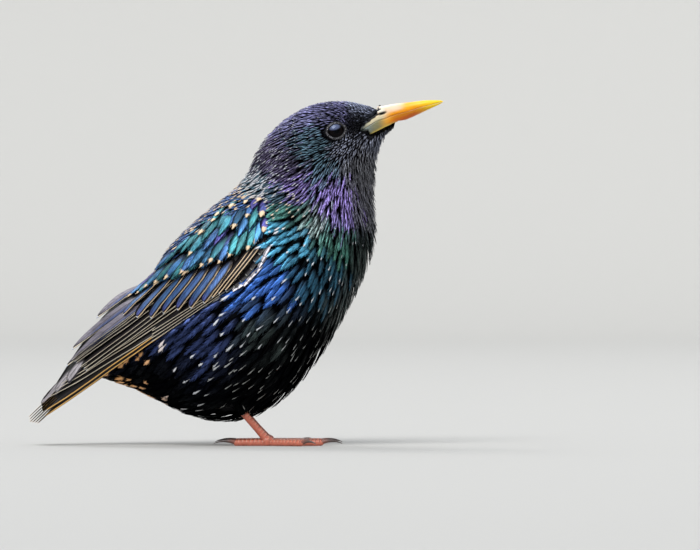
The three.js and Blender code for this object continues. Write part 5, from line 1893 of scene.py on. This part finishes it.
class STARLING_OT_neck_coat(bpy.types.Operator):
    """Builds the hackles of the neck"""

    bl_idname = "starling.neck_coat"
    bl_label = "Neck hackles"

    def execute(self, context):
        build_coat("neck")
        return {"FINISHED"}


class STARLING_OT_body_coat(bpy.types.Operator):
    """Builds the feathers of breast, flanks, belly and back"""

    bl_idname = "starling.body_coat"
    bl_label = "Body feathers"

    def execute(self, context):
        build_coat("torso")
        return {"FINISHED"}


class STARLING_OT_wings(bpy.types.Operator):
    """Builds both folded wings"""

    bl_idname = "starling.wings"
    bl_label = "Wings"

    def execute(self, context):
        build_wings()
        return {"FINISHED"}


class STARLING_OT_tail(bpy.types.Operator):
    """Builds the folded tail"""

    bl_idname = "starling.tail"
    bl_label = "Tail"

    def execute(self, context):
        build_tail()
        return {"FINISHED"}


class STARLING_OT_bill(bpy.types.Operator):
    """Builds the bill"""

    bl_idname = "starling.bill"
    bl_label = "Bill"

    def execute(self, context):
        build_bill()
        return {"FINISHED"}


class STARLING_OT_eyes(bpy.types.Operator):
    """Builds the eyes and their lids"""

    bl_idname = "starling.eyes"
    bl_label = "Eyes"

    def execute(self, context):
        build_eyeballs()
        build_lids()
        return {"FINISHED"}


class STARLING_OT_legs(bpy.types.Operator):
    """Builds the shanks, feet and claws"""

    bl_idname = "starling.legs"
    bl_label = "Legs"

    def execute(self, context):
        scales = scale_material()
        build_shanks(scales)
        build_feet(scales)
        build_claws(claw_material())
        return {"FINISHED"}


class STARLING_OT_stage(bpy.types.Operator):
    """Sets the floor, the lights and the camera"""

    bl_idname = "starling.stage"
    bl_label = "Stage"

    def execute(self, context):
        build_stage()
        return {"FINISHED"}


OPERATORS = (
    STARLING_OT_stage,
    STARLING_OT_skin,
    STARLING_OT_head_coat,
    STARLING_OT_neck_coat,
    STARLING_OT_body_coat,
    STARLING_OT_wings,
    STARLING_OT_tail,
    STARLING_OT_bill,
    STARLING_OT_eyes,
    STARLING_OT_legs,
)


class STARLING_PT_panel(bpy.types.Panel):
    """Lists the steps and the settings"""

    bl_idname = "STARLING_PT_panel"
    bl_label = "Starling"
    bl_space_type = "VIEW_3D"
    bl_region_type = "UI"
    bl_category = "Starling"

    def draw(self, context):
        for operator in OPERATORS:
            self.layout.operator(operator.bl_idname)
        for group in (context.scene.starling_sizes, context.scene.starling_colours):
            for name in group.bl_rna.properties.keys():
                if name not in ("rna_type", "name"):
                    self.layout.prop(group, name)


CLASSES = (StarlingSizes, StarlingColours, *OPERATORS, STARLING_PT_panel)


def register():
    """Registers the classes and hangs the settings on the scene."""
    for each in CLASSES:
        bpy.utils.register_class(each)
    bpy.types.Scene.starling_sizes = bpy.props.PointerProperty(type=StarlingSizes)
    bpy.types.Scene.starling_colours = bpy.props.PointerProperty(type=StarlingColours)


def unregister():
    """Undoes register."""
    del bpy.types.Scene.starling_colours
    del bpy.types.Scene.starling_sizes
    for each in reversed(CLASSES):
        bpy.utils.unregister_class(each)


def main():
    """Builds every piece in order."""
    register()
    for operator in OPERATORS:
        getattr(bpy.ops.starling, operator.bl_idname.split(".")[1])()


if __name__ == "__main__":
    main()
